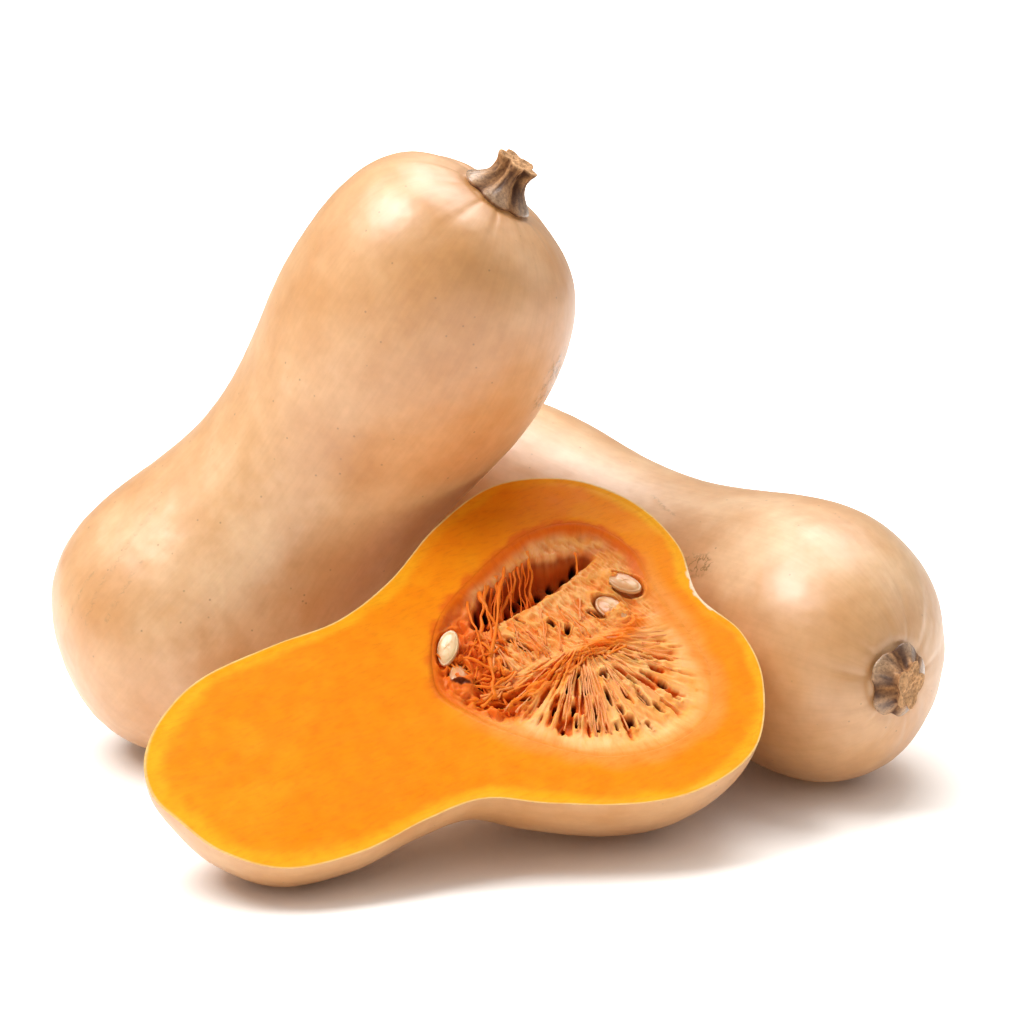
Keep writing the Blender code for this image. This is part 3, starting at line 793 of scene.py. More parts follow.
def cut_tint(x, y, from_edge, from_rim, flesh_settings):
    """Colour of the cut flesh: rind line, yellow band, orange flesh with painted shade at the top of the
    bulb, and paler or redder by the cavity.
    """
    flesh, yellow = np.array(flesh_settings.flesh), np.array(flesh_settings.yellow)
    points = flat_points(x, y)
    corky = 1.0 - eased(np.hypot(x + 106.0, y + 1.0), 7.0, 15.0)
    wide = 1.0 + 0.25 * soft_noise(points, 7.0, 51) + 0.9 * eased(x, 92.0, 108.0)
    wide = flesh_settings.rind_thickness / MM * wide
    wide = wide * (1.0 + corky * (1.4 + 1.6 * soft_noise(points, 1.6, 57)))
    neck = eased(x, 20.0, 100.0)
    ragged = from_edge + 1.2 * soft_noise(points, 9.0, 52) + 0.5 * soft_noise(points, 3.0, 56)
    band = 1.0 - eased(ragged, 2.0, 6.5 + 3.0 * neck)
    yellowness = band * 0.95 + 0.15 * neck + 0.22 * layered_noise(points, 12.0, 53, 4)
    tint = mixed(flesh, yellow, np.clip(yellowness, 0.0, 1.0))
    # painted shade: the flesh at the top of the bulb is painted a darker orange, for the shade under the
    # leaning squash
    painted_bulb_top_shade = eased(-y, 36.0, 64.0) * eased(-x, 0.0, 30.0) * (1.0 - 0.5 * eased(-x, 70.0, 95.0))
    tint = mixed(tint, rgb("#EE7604"), 0.6 * painted_bulb_top_shade)
    low_side = eased(y + 0.35 * (-x - 52.0), -18.0, 12.0)
    soft = (1.0 - eased(from_rim + 1.5 * soft_noise(points, 8.0, 54), 0.5, 7.0)) * low_side
    tint = mixed(tint, rgb("#FC9C46"), 0.8 * soft)
    ragged = from_rim + 1.8 * soft_noise(points, 5.0, 55) + 0.7 * soft_noise(points, 1.6, 58)
    red = (1.0 - eased(ragged, 0.2, 3.4)) * (1.0 - low_side)
    tint = mixed(tint, rgb("#E4560A"), 0.7 * red)
    line = mixed(np.array(flesh_settings.rind_line), rgb("#FFE9CC"), 0.8 * corky)
    return mixed(line, tint, eased(from_edge, wide * 0.55, wide))


def make_half(flesh_settings, materials):
    """The half: rind swept under the cut face, the face's polar grid, and the bowl of the cavity."""
    upper, lower = half_edges()
    middle = (upper + lower) / 2.0
    loop = np.concatenate([upper[1:-1], upper[-1:], lower[1:-1][::-1], upper[:1]])
    count = len(loop)
    sweep = np.linspace(0.0, np.pi, HALF_SWEEP + 1)[1:-1]
    centre, top = middle[1:-1, None], upper[1:-1, None]
    depth = np.linalg.norm(upper - lower, axis=1)[1:-1, None] / 2.0
    flat = centre + (top - centre) * np.cos(sweep)[None, :, None]
    drop = depth * np.sin(sweep)[None, :]
    lean = BLOSSOM_LEAN * np.maximum(-centre[..., 0] / 110.0, 0.0) ** 3 * drop
    rind = stack(flat[..., 0] + lean, flat[..., 1], -drop)
    normal = grid_normals(rind, False)
    outward = np.concatenate([rind[..., :2] - centre, rind[..., 2:]], axis=-1)
    normal *= np.sign(np.sum(normal * outward, axis=-1, keepdims=True))
    relief = 0.4 * soft_noise(rind, 40.0, 31) + 0.18 * soft_noise(rind, 15.0, 32)
    relief += 0.08 * soft_noise(rind, 5.5, 33)
    rind = rind + normal * (relief * np.sin(sweep))[..., None]

    bearing = np.arctan2(loop[:, 1] - CAVITY_CENTRE[1], loop[:, 0] - CAVITY_CENTRE[0])
    rim = CAVITY_CENTRE + rim_reach(bearing)[:, None] * stack(np.cos(bearing), np.sin(bearing))
    share = (np.arange(1, FACE_RINGS + 1) / FACE_RINGS) ** 1.5
    face = loop + (rim - loop) * share[:, None, None]
    x, y = face[..., 0], face[..., 1]
    from_edge, from_rim = curve_distance(x, y, loop[::2]), curve_distance(x, y, rim[::2])
    wave = 0.16 * soft_noise(flat_points(x, y), 17.0, 34) + 0.07 * soft_noise(flat_points(x, y), 5.0, 35)
    wave = wave * eased(from_edge, 0.5, 4.0)
    wave -= 0.12 * eased(from_edge, 0.8, 2.5) * (1.0 - eased(from_edge, 6.0, 16.0))
    face = stack(x, y, wave * eased(from_rim, 0.0, 3.0))

    turn = np.linspace(0.0, np.pi / 2.0, BOWL_RINGS + 2)[1:-1]
    width = np.cos(turn) ** CAVITY_WALL_POWER
    bowl = CAVITY_CENTRE + (rim - CAVITY_CENTRE) * width[:, None, None]
    bowl_depth = np.broadcast_to((-CAVITY_DEPTH * np.sin(turn))[:, None], bowl.shape[:2])
    bowl = stack(bowl[..., 0], bowl[..., 1], bowl_depth)

    parts = [flat_points(*loop.T), *(grid.reshape(-1, 3) for grid in (rind, face, bowl))]
    parts.append([[*CAVITY_CENTRE, -CAVITY_DEPTH]])
    starts = np.cumsum([0] + [len(part) for part in parts])
    points = np.concatenate(parts)
    upper_ids = np.arange(HALF_ROWS)
    lower_ids = np.arange(HALF_ROWS + 1, 2 * HALF_ROWS + 1)[::-1]
    inner = starts[1] + np.arange(rind[..., 0].size).reshape(rind.shape[:2])
    rind_table = np.concatenate([upper_ids[:, None], inner, lower_ids[:, None]], axis=1)
    tips = []
    for row, tip in ((rind_table[0], count - 1), (rind_table[-1][::-1], HALF_ROWS)):
        ends = np.full(len(row) - 1, tip)
        tips.append(stack(row[:-1], row[1:], ends, ends)[:, ::-1])
    rind_faces = np.concatenate([grid_faces(rind_table, False), *tips])
    face_inner = starts[2] + np.arange(FACE_RINGS * count).reshape(FACE_RINGS, count)
    face_table = np.concatenate([np.arange(count)[None], face_inner])
    face_faces = grid_faces(face_table, True)
    bowl_inner = starts[3] + np.arange(BOWL_RINGS * count).reshape(BOWL_RINGS, count)
    bowl_table = np.concatenate([face_table[-1:], bowl_inner])
    bowl_faces = np.concatenate([grid_faces(bowl_table, True), fan_faces(bowl_table[-1], starts[4])])
    rind_faces = facing(points, rind_faces, np.array((0.0, 0.0, 0.0)))
    face_faces = facing(points, face_faces, np.array((0.0, 0.0, -1000.0)))
    bowl_faces = facing(points, bowl_faces, np.array((*CAVITY_CENTRE, 0.0)))[:, ::-1]
    faces = np.concatenate([rind_faces, face_faces, bowl_faces])
    slots = np.repeat([0, 1, 2], [len(rind_faces), len(face_faces), len(bowl_faces)])

    x, y, z = points.T
    edge_gap = np.where(z > -1.0, curve_distance(x, y, loop[::2]), 0.0)
    rim_gap = curve_distance(x, y, rim[::2])
    rim_gap = np.where(inside_curve(x, y, rim[::2]), -rim_gap, rim_gap)
    edge_gap[:count] = 0.0
    tint = cut_tint(x, y, edge_gap, rim_gap, flesh_settings)
    tint[starts[3]:] = rgb("#E8731A")
    around = np.arctan2(z, y)
    grain = stack(50.0 * np.cos(around), 50.0 * np.sin(around), x * GRAIN_ALONG)
    fibre = stack(x * 0.28, y, z)
    scar = np.zeros(len(points))
    scar[: starts[2]] = (1.0 - eased(np.hypot(x + 107.0, y - 1.0), 3.0, 7.0))[: starts[2]]
    attributes = {"tint": with_alpha(tint), "grain": grain, "fibre": fibre, "scar": scar}
    points = set_down(points, HALF)
    return make_object("half_squash_cut", points, faces, materials, slots, attributes, sharp_loop=count)


# ------------------------------------------------------------------ the pulp
def bed_height(x, y, from_rim):
    """Height of the pulp in mm below the cut, and the masks that its colours follow, among them the painted
    shade of the sockets and pits.

    Fine plates fan out from the core as creases of a noise stretched along the bearing; narrow
    slits and sockets are pressed into them; a folded band crosses; a hollow opens on one side.
    """
    points = flat_points(x, y)
    arm_x, arm_y = x - FAN_CENTRE[0], y - FAN_CENTRE[1]
    reach, bearing = np.hypot(arm_x, arm_y), np.arctan2(arm_y, arm_x)
    band = curve_distance(x, y, np.array(CORE_BAND, dtype=float), closed=False)
    margin = eased(from_rim, 0.0, 9.0)
    fan = eased(arm_y + 0.10 * arm_x, 3.0, 9.0)
    fan *= eased(from_rim + 2.0 * soft_noise(points, 4.0, 60), 4.0, 13.0)
    streak = flat_points(bearing * 27.0, reach * 0.16)
    coarse = np.abs(soft_noise(streak + 0.05 * points, 2.0, 61))
    fine = np.abs(soft_noise(streak * 2.2, 2.0, 62))
    slit = eased(soft_noise(streak * (1.5, 1.1, 1.0), 1.7, 68), 0.40, 0.62)
    valley = np.clip(0.45 * coarse + 0.4 * fine + 0.9 * slit, 0.0, 1.3)
    height = -0.15 - 1.3 * margin - 2.8 * valley * fan
    tangle = eased(x, -31.0, -20.0) * (1.0 - eased(y, 15.0, 24.0)) * eased(from_rim, 0.0, 5.0)
    lumps = soft_noise(points + 1.5 * soft_noise(points, 5.0, 75)[..., None], 3.2, 63)
    height += tangle * (-2.4 + 3.08 * np.abs(lumps) + 0.8 * soft_noise(points, 1.5, 64))
    fluff = (1.0 - fan) * (1.0 - tangle) * margin * eased(-arm_y, -8.0, 2.0)
    combed = flat_points(x * 0.94 + y * 0.34, (y * 0.94 - x * 0.34) * 0.3)
    comb = np.abs(soft_noise(combed, 1.3, 69)) + 0.5 * np.abs(soft_noise(combed * 2.0, 1.3, 70))
    height += fluff * (0.6 * soft_noise(points, 4.5, 66) - 0.6 - 0.9 * comb)
    folds = np.abs(soft_noise(flat_points(x * 0.22 - y * 0.05, y * 0.95 + x * 0.25), 1.5, 65))
    ridge = bell(band, 4.2) * eased(from_rim, 1.0, 6.0)
    height += ridge * (1.6 - 1.9 * folds)
    hollow = smooth_loop(HOLLOW, 6)
    depth = curve_distance(x, y, hollow) * np.where(inside_curve(x, y, hollow), 1.0, -1.0)
    depth += 0.6 * soft_noise(points, 2.2, 67) + 0.5 * soft_noise(points, 6.0, 76)
    wall = eased(depth, -0.5, 6.0)
    height -= HOLLOW_DEPTH * wall
    # painted shade: how dark each socket and pit is painted, for the shade inside it
    painted_pit_shade = np.zeros_like(x)
    outward = [
        (sx, sy, math.degrees(math.atan2(sy - FAN_CENTRE[1], sx - FAN_CENTRE[0])), half_length, half_width)
        for sx, sy, half_length, half_width in FAN_SOCKETS
    ]
    for number, (sx, sy, turn, half_length, half_width) in enumerate((*outward, *LOOSE_SOCKETS)):
        out = math.radians(turn)
        dx, dy = x - (sx - 0.7), y - (sy - 1.0)
        lengthwise = (dx * math.cos(out) + dy * math.sin(out)) / half_length
        sideways = (dy * math.cos(out) - dx * math.sin(out)) / half_width
        far = np.hypot(lengthwise, sideways * (1.0 + 0.35 * lengthwise))
        far *= 1.0 + 0.15 * soft_noise(points, 1.6, 80 + number)
        hole = 1.0 - eased(far, 0.55, 1.0)
        height -= 4.5 * hole
        height += 0.55 * bell(far, 0.22, 1.25)
        painted_pit_shade = np.maximum(painted_pit_shade, hole)
    for px, py in PITS:
        far = np.hypot(x - px, (y - py) * 0.8)
        hole = 1.0 - eased(far, 0.9, 1.7)
        height -= 3.0 * hole
        painted_pit_shade = np.maximum(painted_pit_shade, 1.6 * hole)
    return height, fan, wall, tangle, ridge, fluff, np.where(fan > fluff, valley, comb), painted_pit_shade


def seed_matrix(seed):
    """Where a seed lies, in the cut face's own frame, in mm."""
    centre, heading, pitch, roll = seed
    turn = (
        Matrix.Rotation(math.radians(heading), 4, "Z")
        @ Matrix.Rotation(math.radians(pitch), 4, "Y")
        @ Matrix.Rotation(math.radians(roll), 4, "X")
    )
    return np.array(Matrix.Translation(centre) @ turn)


def seed_pockets(x, y, height):
    """The bed sunk under each seed, with a soft lip round it, and a flap over part of some."""
    points = flat_points(x, y)
    for number, seed in enumerate(SEEDS):
        place = np.linalg.inv(seed_matrix(seed))
        local = stack(x, y, np.full_like(x, seed[0][2]), np.ones_like(x)) @ place.T
        across, aside = local[..., 0] / (SEED_LENGTH / 2.0), local[..., 1] / (SEED_WIDTH / 2.0)
        far = np.hypot(across, aside) + 0.06 * soft_noise(points, 2.5, 85 + number)
        sunk = 1.0 - eased(far, 0.98, 1.22)
        height = height * (1.0 - sunk) + (seed[0][2] - 2.8) * sunk
        height = height + 0.9 * bell(far, 0.12, 1.28)
        if number in COVERED_SEEDS:
            edge = COVERED_SEEDS[number]
            flap = eased(across + 0.25 * soft_noise(points, 2.0, 95), edge, edge + 0.18)
            flap *= 1.0 - eased(far, 1.0, 1.35)
            lumps = 1.1 * np.abs(soft_noise(points, 2.4, 96)) + 0.5 * soft_noise(points, 1.2, 97)
            height = height * (1.0 - flap) + (0.9 - 0.5 * far ** 2 - lumps) * flap
    return height


def make_bed(flesh_settings, pulp_settings, material):
    """The pulp: a polar grid about the cavity's centre, lifted by bed_height, closed underneath."""
    bearing = np.arange(BED_AROUND) * (2.0 * np.pi / BED_AROUND)
    rim = rim_reach(bearing)
    share = np.linspace(0.0, 1.0, BED_RINGS + 1)[1:, None]
    reach = share * (rim + 1.0)[None]
    x = CAVITY_CENTRE[0] + reach * np.cos(bearing)
    y = CAVITY_CENTRE[1] + reach * np.sin(bearing)
    curve = CAVITY_CENTRE + rim[:, None] * stack(np.cos(bearing), np.sin(bearing))
    from_rim = curve_distance(x, y, curve[::3]) * np.where(reach <= rim[None], 1.0, -1.0)
    height, fan, wall, tangle, ridge, fluff, valley, painted_pit_shade = bed_height(x, y, from_rim)
    height = seed_pockets(x, y, height)
    joined = eased(from_rim, 0.2, 3.0)
    height = 0.02 * (1.0 - joined) + height * joined
    height = np.where(from_rim < 0.0, 0.02 + 0.12 * from_rim, height)

    flesh = cut_tint(x, y, np.full_like(x, 40.0), -np.abs(from_rim), flesh_settings)
    points = flat_points(x, y)
    peach, orange = np.array(pulp_settings.peach), np.array(pulp_settings.orange)
    deep = np.array(pulp_settings.deep)
    tint = mixed(peach, rgb("#FFC078"), np.clip(0.5 + 0.6 * soft_noise(points, 6.0, 71), 0.0, 1.0))
    tint = mixed(tint, orange, np.clip(1.5 * valley - 0.55, 0.0, 0.95) * fan)
    upper_edge = 1.0 - eased(from_rim + 1.5 * soft_noise(points, 4.0, 74), 1.5, 6.0)
    upper_edge *= eased(-y, 0.0, 16.0)
    tint = mixed(tint, rgb("#EC6410"), 0.85 * upper_edge)
    tint = mixed(tint, orange, 0.9 * tangle)
    tint = mixed(tint, rgb("#F8801C"), ridge * 0.95)
    tint = mixed(tint, rgb("#F58A34"), np.clip(1.3 * valley - 0.35, 0.0, 0.8) * fluff * (1.0 - ridge))
    membrane = eased(-y, 26.0, 34.0) * (1.0 - eased(from_rim, 9.0, 14.0))
    membrane *= 0.5 + 0.5 * soft_noise(points, 2.4, 77)
    tint = mixed(tint, rgb("#DE8A55"), 0.8 * np.clip(membrane, 0.0, 1.0))
    # painted shade: the pulp is painted deeper red the further it lies below the cut
    tint = mixed(tint, deep, eased(-height, 3.2, 6.5) * (1.0 - wall))
    # painted light and shade: the hollow's wall is painted a darker red-orange than the plates, lighter
    # towards the blossom end and in patches
    painted_wall_light = np.clip(0.5 + 0.5 * soft_noise(points, 9.0, 78) - 0.02 * (x + 50.0), 0.0, 1.0)
    tint = mixed(tint, mixed(rgb("#C44A0C"), rgb("#E27A2C"), painted_wall_light), eased(wall, 0.12, 0.6) * 0.95)
    # painted shade: the sockets are painted near brown-black and the deepest pits black
    tint = mixed(tint, rgb("#5A1604"), np.clip(painted_pit_shade, 0.0, 1.0) * 0.9)
    tint = mixed(tint, rgb("#1A0602"), np.clip(painted_pit_shade - 0.6, 0.0, 1.0))
    tint = mixed(flesh, tint, eased(from_rim + 1.2 * soft_noise(points, 6.0, 73), 1.0, 6.5))

    top = stack(x, y, height)
    turn = np.linspace(0.0, np.pi / 2.0, BED_UNDER + 2)[1:-1]
    width, floor = np.cos(turn) ** CAVITY_WALL_POWER, CAVITY_DEPTH - 0.8
    under = CAVITY_CENTRE + (curve - CAVITY_CENTRE) * width[:, None, None] * 0.985
    depth = np.broadcast_to((-floor * np.sin(turn))[:, None], under.shape[:2])
    under = stack(under[..., 0], under[..., 1], depth)
    ends = np.array([[*CAVITY_CENTRE, height[0].mean()], [*CAVITY_CENTRE, -floor]])
    points = np.concatenate([top.reshape(-1, 3), under.reshape(-1, 3), ends])
    table = np.arange((BED_RINGS + BED_UNDER) * BED_AROUND).reshape(-1, BED_AROUND)
    faces = capped_faces(points, table, np.array((*CAVITY_CENTRE, -20.0)))
    colours = np.concatenate([tint.reshape(-1, 3), np.tile(deep, (BED_UNDER * BED_AROUND + 2, 1))])
    arm_x, arm_y = (points[:, :2] - FAN_CENTRE).T
    out = np.arctan2(arm_y, arm_x)
    fibre = stack(np.cos(out) * 22.0, np.sin(out) * 22.0, np.hypot(arm_x, arm_y) * 0.12)
    attributes = {"tint": with_alpha(colours), "fibre": fibre}
    return make_object("seed_pulp_bed", set_down(points, HALF), faces, [material], None, attributes)


def tubes(paths, radii, sides):
    """Strings: a circle carried along each path; paths are (strings, steps, 3), ends are closed."""
    strings, steps = paths.shape[:2]
    forward = np.gradient(paths, axis=1)
    forward /= np.linalg.norm(forward, axis=-1, keepdims=True)
    side = np.cross(forward, (0.13, 0.21, 1.0))
    side /= np.linalg.norm(side, axis=-1, keepdims=True)
    up = np.cross(side, forward)
    angle = np.arange(sides) * (2.0 * np.pi / sides)
    circle = side[:, :, None] * np.cos(angle)[:, None] + up[:, :, None] * np.sin(angle)[:, None]
    skin = paths[:, :, None] + circle * radii[:, :, None, None]
    body = skin.reshape(-1, 3)
    tips = paths[:, [0, -1]].reshape(-1, 3)
    points = np.concatenate([body, tips])
    here = np.arange(len(body)).reshape(strings, steps, sides)
    following = np.roll(here, -1, axis=2)
    faces = stack(here[:, :-1], following[:, :-1], following[:, 1:], here[:, 1:]).reshape(-1, 4)
    first = len(body) + 2 * np.arange(strings)[:, None] + np.zeros(sides, dtype=int)
    start = stack(following[:, 0], here[:, 0], first, first).reshape(-1, 4)
    end = stack(here[:, -1], following[:, -1], first + 1, first + 1).reshape(-1, 4)
    return points, np.concatenate([faces, start, end])


def strand_paths(pulp_settings):
    """Loose strings: some laid in known places over the hollow, the rest strewn by a seeded draw."""
    draw = np.random.default_rng(STRING_DRAW)
    place = np.linspace(0.0, 1.0, STRING_STEPS)
    starts, ends, lifts, widths, tints = [], [], [], [], []

    def string(start, end, lift, width, tint):
        for values, value in zip((starts, ends, lifts, widths, tints), (start, end, lift, width, tint)):
            values.append(value)

    pale, bright, wet = rgb("#FFA868"), rgb("#FF8A28"), np.array(pulp_settings.orange)
    for _ in range(pulp_settings.strands):
        kind = draw.random()
        if kind < 0.22:                            # along the fan's plates
            bearing = draw.uniform(0.25, 2.95)
            near, far = draw.uniform(9.0, 26.0), draw.uniform(28.0, 44.0)
            turn = bearing + draw.normal(0.0, 0.04)
            begin = (*(FAN_CENTRE + near * np.array((np.cos(bearing), np.sin(bearing)))), -1.5)
            finish = (*(FAN_CENTRE + far * np.array((np.cos(turn), np.sin(turn)))), -2.0)
            string(begin, finish, draw.uniform(0.0, 0.4), draw.uniform(0.16, 0.32), pale)
        elif kind < 0.60:                          # the tangle at the neck's side of the hollow
            begin = (draw.uniform(-30.0, -3.0), draw.uniform(-20.0, 8.0), draw.uniform(-4.0, -2.4))
            swing = draw.normal(0.4, 0.9)
            reach = draw.uniform(6.0, 14.0)
            across, along = -reach * math.sin(swing), reach * math.cos(swing)
            finish = (begin[0] + across, begin[1] + along, draw.uniform(-4.0, -2.4))
            lift, width = draw.uniform(0.0, 1.6), draw.uniform(0.25, 0.65)
            string(begin, finish, lift, width, mixed(wet, bright, draw.random()))
        elif kind < 0.74:                          # along the core band
            begin_x = draw.uniform(-74.0, -20.0)
            begin = (begin_x, 5.0 + draw.normal(0.0, 2.0), -1.7)
            finish = (begin_x + draw.uniform(6.0, 13.0), 8.0 + draw.normal(0.0, 2.6), -1.9)
            lift, width = draw.uniform(0.0, 0.5), draw.uniform(0.35, 0.7)
            string(begin, finish, lift, width, mixed(bright, pale, 0.5 * draw.random()))
        elif kind < 0.93:                          # over the soft side between the hollow and the core
            begin = (draw.uniform(-66.0, -26.0), draw.uniform(-19.0, -8.0), -2.2)
            finish = (begin[0] + draw.uniform(-4.0, 6.0), begin[1] + draw.uniform(7.0, 13.0), -2.0)
            lift, width = draw.uniform(0.1, 0.7), draw.uniform(0.2, 0.42)
            string(begin, finish, lift, width, mixed(bright, pale, draw.random()))
        else:                                      # from the upper rim across the hollow
            begin_x = draw.uniform(-58.0, -24.0)
            begin = (begin_x, -42.0 + 0.35 * abs(begin_x + 58.0), -3.0)
            end_x, end_y = begin_x + draw.uniform(6.0, 14.0), draw.uniform(-22.0, -12.0)
            finish = (end_x, end_y, draw.uniform(-6.0, -3.0))
            string(begin, finish, draw.uniform(-2.0, 0.0), draw.uniform(0.2, 0.4), wet)
    for start, end, lift, width in LAID_STRINGS:
        start, end = np.array(start) - (0.0, 0.0, 1.6), np.array(end) - (0.0, 0.0, 1.0)
        string(start, end, lift + 1.2, width, mixed(wet, bright, 0.6))
    start, end = np.array(starts)[:, None], np.array(ends)[:, None]
    paths = start + (end - start) * place[None, :, None]
    arch = np.sin(np.pi * place)[None, :]
    paths[..., 2] += np.array(lifts)[:, None] * arch
    wander = stack(soft_noise(paths, 5.0, 81), soft_noise(paths, 5.0, 82), 0.6 * soft_noise(paths, 4.0, 83))
    widths = np.array(widths)[:, None]
    paths += (0.3 + 2.0 * widths)[..., None] * wander * arch[..., None] ** 0.5
    radii = widths * (1.35 - 0.75 * arch ** 0.6) * (1.0 + 0.35 * soft_noise(paths, 2.5, 84))
    return paths, radii, np.array(tints)


def make_strands(pulp_settings, material):
    """The wet strings of the pulp as one mesh of closed tubes."""
    paths, radii, tints = strand_paths(pulp_settings)
    points, faces = tubes(paths, radii, STRING_SIDES)
    tint = np.concatenate([np.repeat(tints, count, axis=0) for count in (STRING_STEPS * STRING_SIDES, 2)])
    attributes = {"tint": with_alpha(tint), "fibre": points}
    return make_object("seed_pulp_strands", set_down(points, HALF), faces, [material], None, attributes)


def make_seed(number, seed, material):
    """A seed: a teardrop plan swelled to a lens, with a groove and a raised margin."""
    rings, around = 30, 72
    far = np.sin(np.linspace(0.02, 1.0, rings) * np.pi / 2.0)
    profile = np.sqrt(1.0 - far ** 2.6) * (1.0 - 0.16 * bell(far, 0.06, 0.84))
    profile[-1] = 0.0
    profile = profile + 0.10 * bell(far, 0.035, 0.95) * (far < 0.999)
    far = np.concatenate([far, far[-2::-1]])
    level = np.concatenate([profile, -profile[-2::-1]])
    angle = np.arange(around) * (2.0 * np.pi / around)
    x, y = far[:, None] * np.cos(angle), far[:, None] * np.sin(angle)
    taper = 1.0 - 0.28 * np.maximum(x, 0.0) ** 1.5
    z = level[:, None] * (1.0 + 0.05 * np.sin(3.0 * angle))
    half = np.array((SEED_LENGTH, SEED_WIDTH, SEED_THICKNESS)) / 2.0
    grid = stack(x, y * taper, z * taper) * half
    points = np.concatenate([grid.reshape(-1, 3), [[0.0, 0.0, half[2]], [0.0, 0.0, -half[2]]]])
    margin = np.concatenate([np.repeat(eased(far, 0.8, 0.95), around), [0.0, 0.0]])
    table = np.arange(grid.shape[0] * around).reshape(-1, around)
    faces = capped_faces(points, table, np.zeros(3))
    streak = soft_noise(points * (0.3, 1.6, 1.0), 1.6, 98 + number)
    juice = np.clip(SEED_WETNESS[number - 1] * (1.0 + 0.5 * streak), 0.0, 1.0)
    place = seed_matrix(seed)
    points = points @ place[:3, :3].T + place[:3, 3]
    attributes = {"margin": margin, "juice": juice}
    return make_object("seed_%d_coat" % number, set_down(points, HALF), faces, [material], None, attributes)


# ------------------------------------------------------------------ stems
def skin_height(fruit, across):
    """Height of the skin along the axis over the foot's plane, at points across the axis."""
    stations = np.linspace(0.6, 1.0, 1500)
    centre, radius = station_axis(fruit, stations), station_radius(fruit["radii"], stations)
    flat = across.reshape(-1, 2)
    within = np.hypot(flat[:, :1] - centre[None, :, 1], flat[:, 1:] - centre[None, :, 2]) <= radius[None]
    last = within.shape[1] - 1 - np.argmax(within[:, ::-1], axis=1)
    station = np.where(within.any(axis=1), stations[last], stations[-1])
    return ((station - 0.5) * fruit["length"] - stem_foot(fruit)[0]).reshape(across.shape[:-1])


def make_stem(name, fruit, settings, material):
    """A stalk: a flared foot in lobes, deep furrows between five corky angles, and a torn top."""
    stem, base = fruit["stem"], stem_foot(fruit)
    levels, around, top_rings = 70, 200, 22
    seed = fruit["seed"]
    turns = np.arange(around) * (2.0 * np.pi / around)
    rise, angle = np.meshgrid(np.linspace(0.0, 1.0, levels) ** 1.2, turns, indexing="ij")
    height = rise * stem["height"]
    flare = np.exp(-(np.maximum(height - 1.3, 0.0) / FLARE_HEIGHT) ** 1.6)
    waist = stem["top"] * (1.0 - WAIST_PINCH * np.sin(np.pi * rise) + 0.13 * eased(rise, 0.7, 1.0))
    wavy = STEM_ANGLES * angle + 0.35 * np.sin(2.0 * angle + seed)
    angles_out = np.cos(wavy)
    furrow = np.clip(-angles_out, 0.0, 1.0) ** 1.5
    furrowed = stem["star"] * (1.0 - flare) + 0.05 * flare
    reach = waist + (stem["foot"] - waist) * flare
    reach *= 1.0 + (0.14 - 0.10 * flare) * angles_out - furrowed * furrow
    ring = stack(np.cos(angle) * 10.0, np.sin(angle) * 10.0, height * 0.55)
    bark = layered_noise(ring, 2.6, seed + 40, 4)
    reach = reach + bark * (0.50 - 0.20 * flare)
    reach *= 1.0 - 0.13 * np.clip(1.0 - height / 2.2, 0.0, 1.0) ** 2

    def lifted(reach, angle, height, rise):
        """Points of the stem: near the fruit they follow the skin, further out they are flat."""
        across = stack(
            base[1] + reach * np.cos(angle) + stem["sway"][0] * rise ** 1.5,
            base[2] + reach * np.sin(angle) + stem["sway"][1] * rise ** 1.5,
        )
        follow = np.clip(1.0 - height / FOOT_FIT_HEIGHT, 0.0, 1.0)
        up = base[0] + skin_height(fruit, across) * follow + height - FOOT_SUNK * (1.0 - rise)
        return np.concatenate([up[..., None], across], axis=-1)

    sides = lifted(reach, angle, height, rise)
    inward = (1.0 - np.linspace(0.0, 1.0, top_rings + 1)[1:-1])[:, None]
    cap_angle = np.broadcast_to(turns, (len(inward), around))
    ones = np.ones_like(cap_angle)
    cap = lifted(reach[-1:] * inward, cap_angle, stem["height"] * ones, ones)
    torn = layered_noise(cap, 2.8, seed + 60, 3)
    cap[..., 0] += (0.7 * torn - 0.6 * np.exp(-(inward * 1.8) ** 2)) * eased(1.0 - inward, 0.0, 0.12)
    grid = np.concatenate([sides, cap])
    under = sides[0].mean(axis=0) - (1.0, 0.0, 0.0)
    points = np.concatenate([grid.reshape(-1, 3), [under, cap[-1].mean(axis=0)]])
    cork, cut = np.array(settings.cork), np.array(settings.cut)
    # darker in the furrows and paler on the ridges: partly the cork's own colour, partly painted shade in
    # the furrows
    ridge = np.clip(0.5 + 0.9 * bark + 0.25 * angles_out, 0.0, 1.0)
    tint = mixed(cork * (0.26, 0.18, 0.13), cork * 1.2, ridge)
    # paler tan on the foot's lobes: partly their own colour, partly a painted highlight
    lobes = flare * np.clip(angles_out * 0.5 + 0.5, 0.0, 1.0)
    tint = mixed(tint, rgb("#CBAB8A"), np.clip(lobes * (0.7 + 0.5 * bark), 0.0, 0.8))
    # painted shade: the stem darkens to deep brown where it meets the skin
    tint = mixed(tint, rgb("#562A10"), 0.9 * np.clip(1.0 - height / 1.8, 0.0, 1.0))
    tint = mixed(tint, cut, eased(rise, 0.93, 1.0) * 0.6)
    top_tint = mixed(cut * 0.7, cut * 1.1, np.clip(0.5 + 0.6 * torn, 0.0, 1.0))
    colours = np.concatenate([tint.reshape(-1, 3), top_tint.reshape(-1, 3), [cork * 0.5, cut * 0.6]])
    polish = np.concatenate([np.clip(lobes * 1.3, 0.0, 1.0).ravel(), np.zeros(len(cap) * around + 2)])
    table = np.arange(len(grid) * around).reshape(-1, around)
    faces = capped_faces(points, table, points.mean(axis=0))
    attributes = {"tint": with_alpha(colours), "polish": polish}
    return make_object(name, set_down(points, fruit), faces, [material], None, attributes)


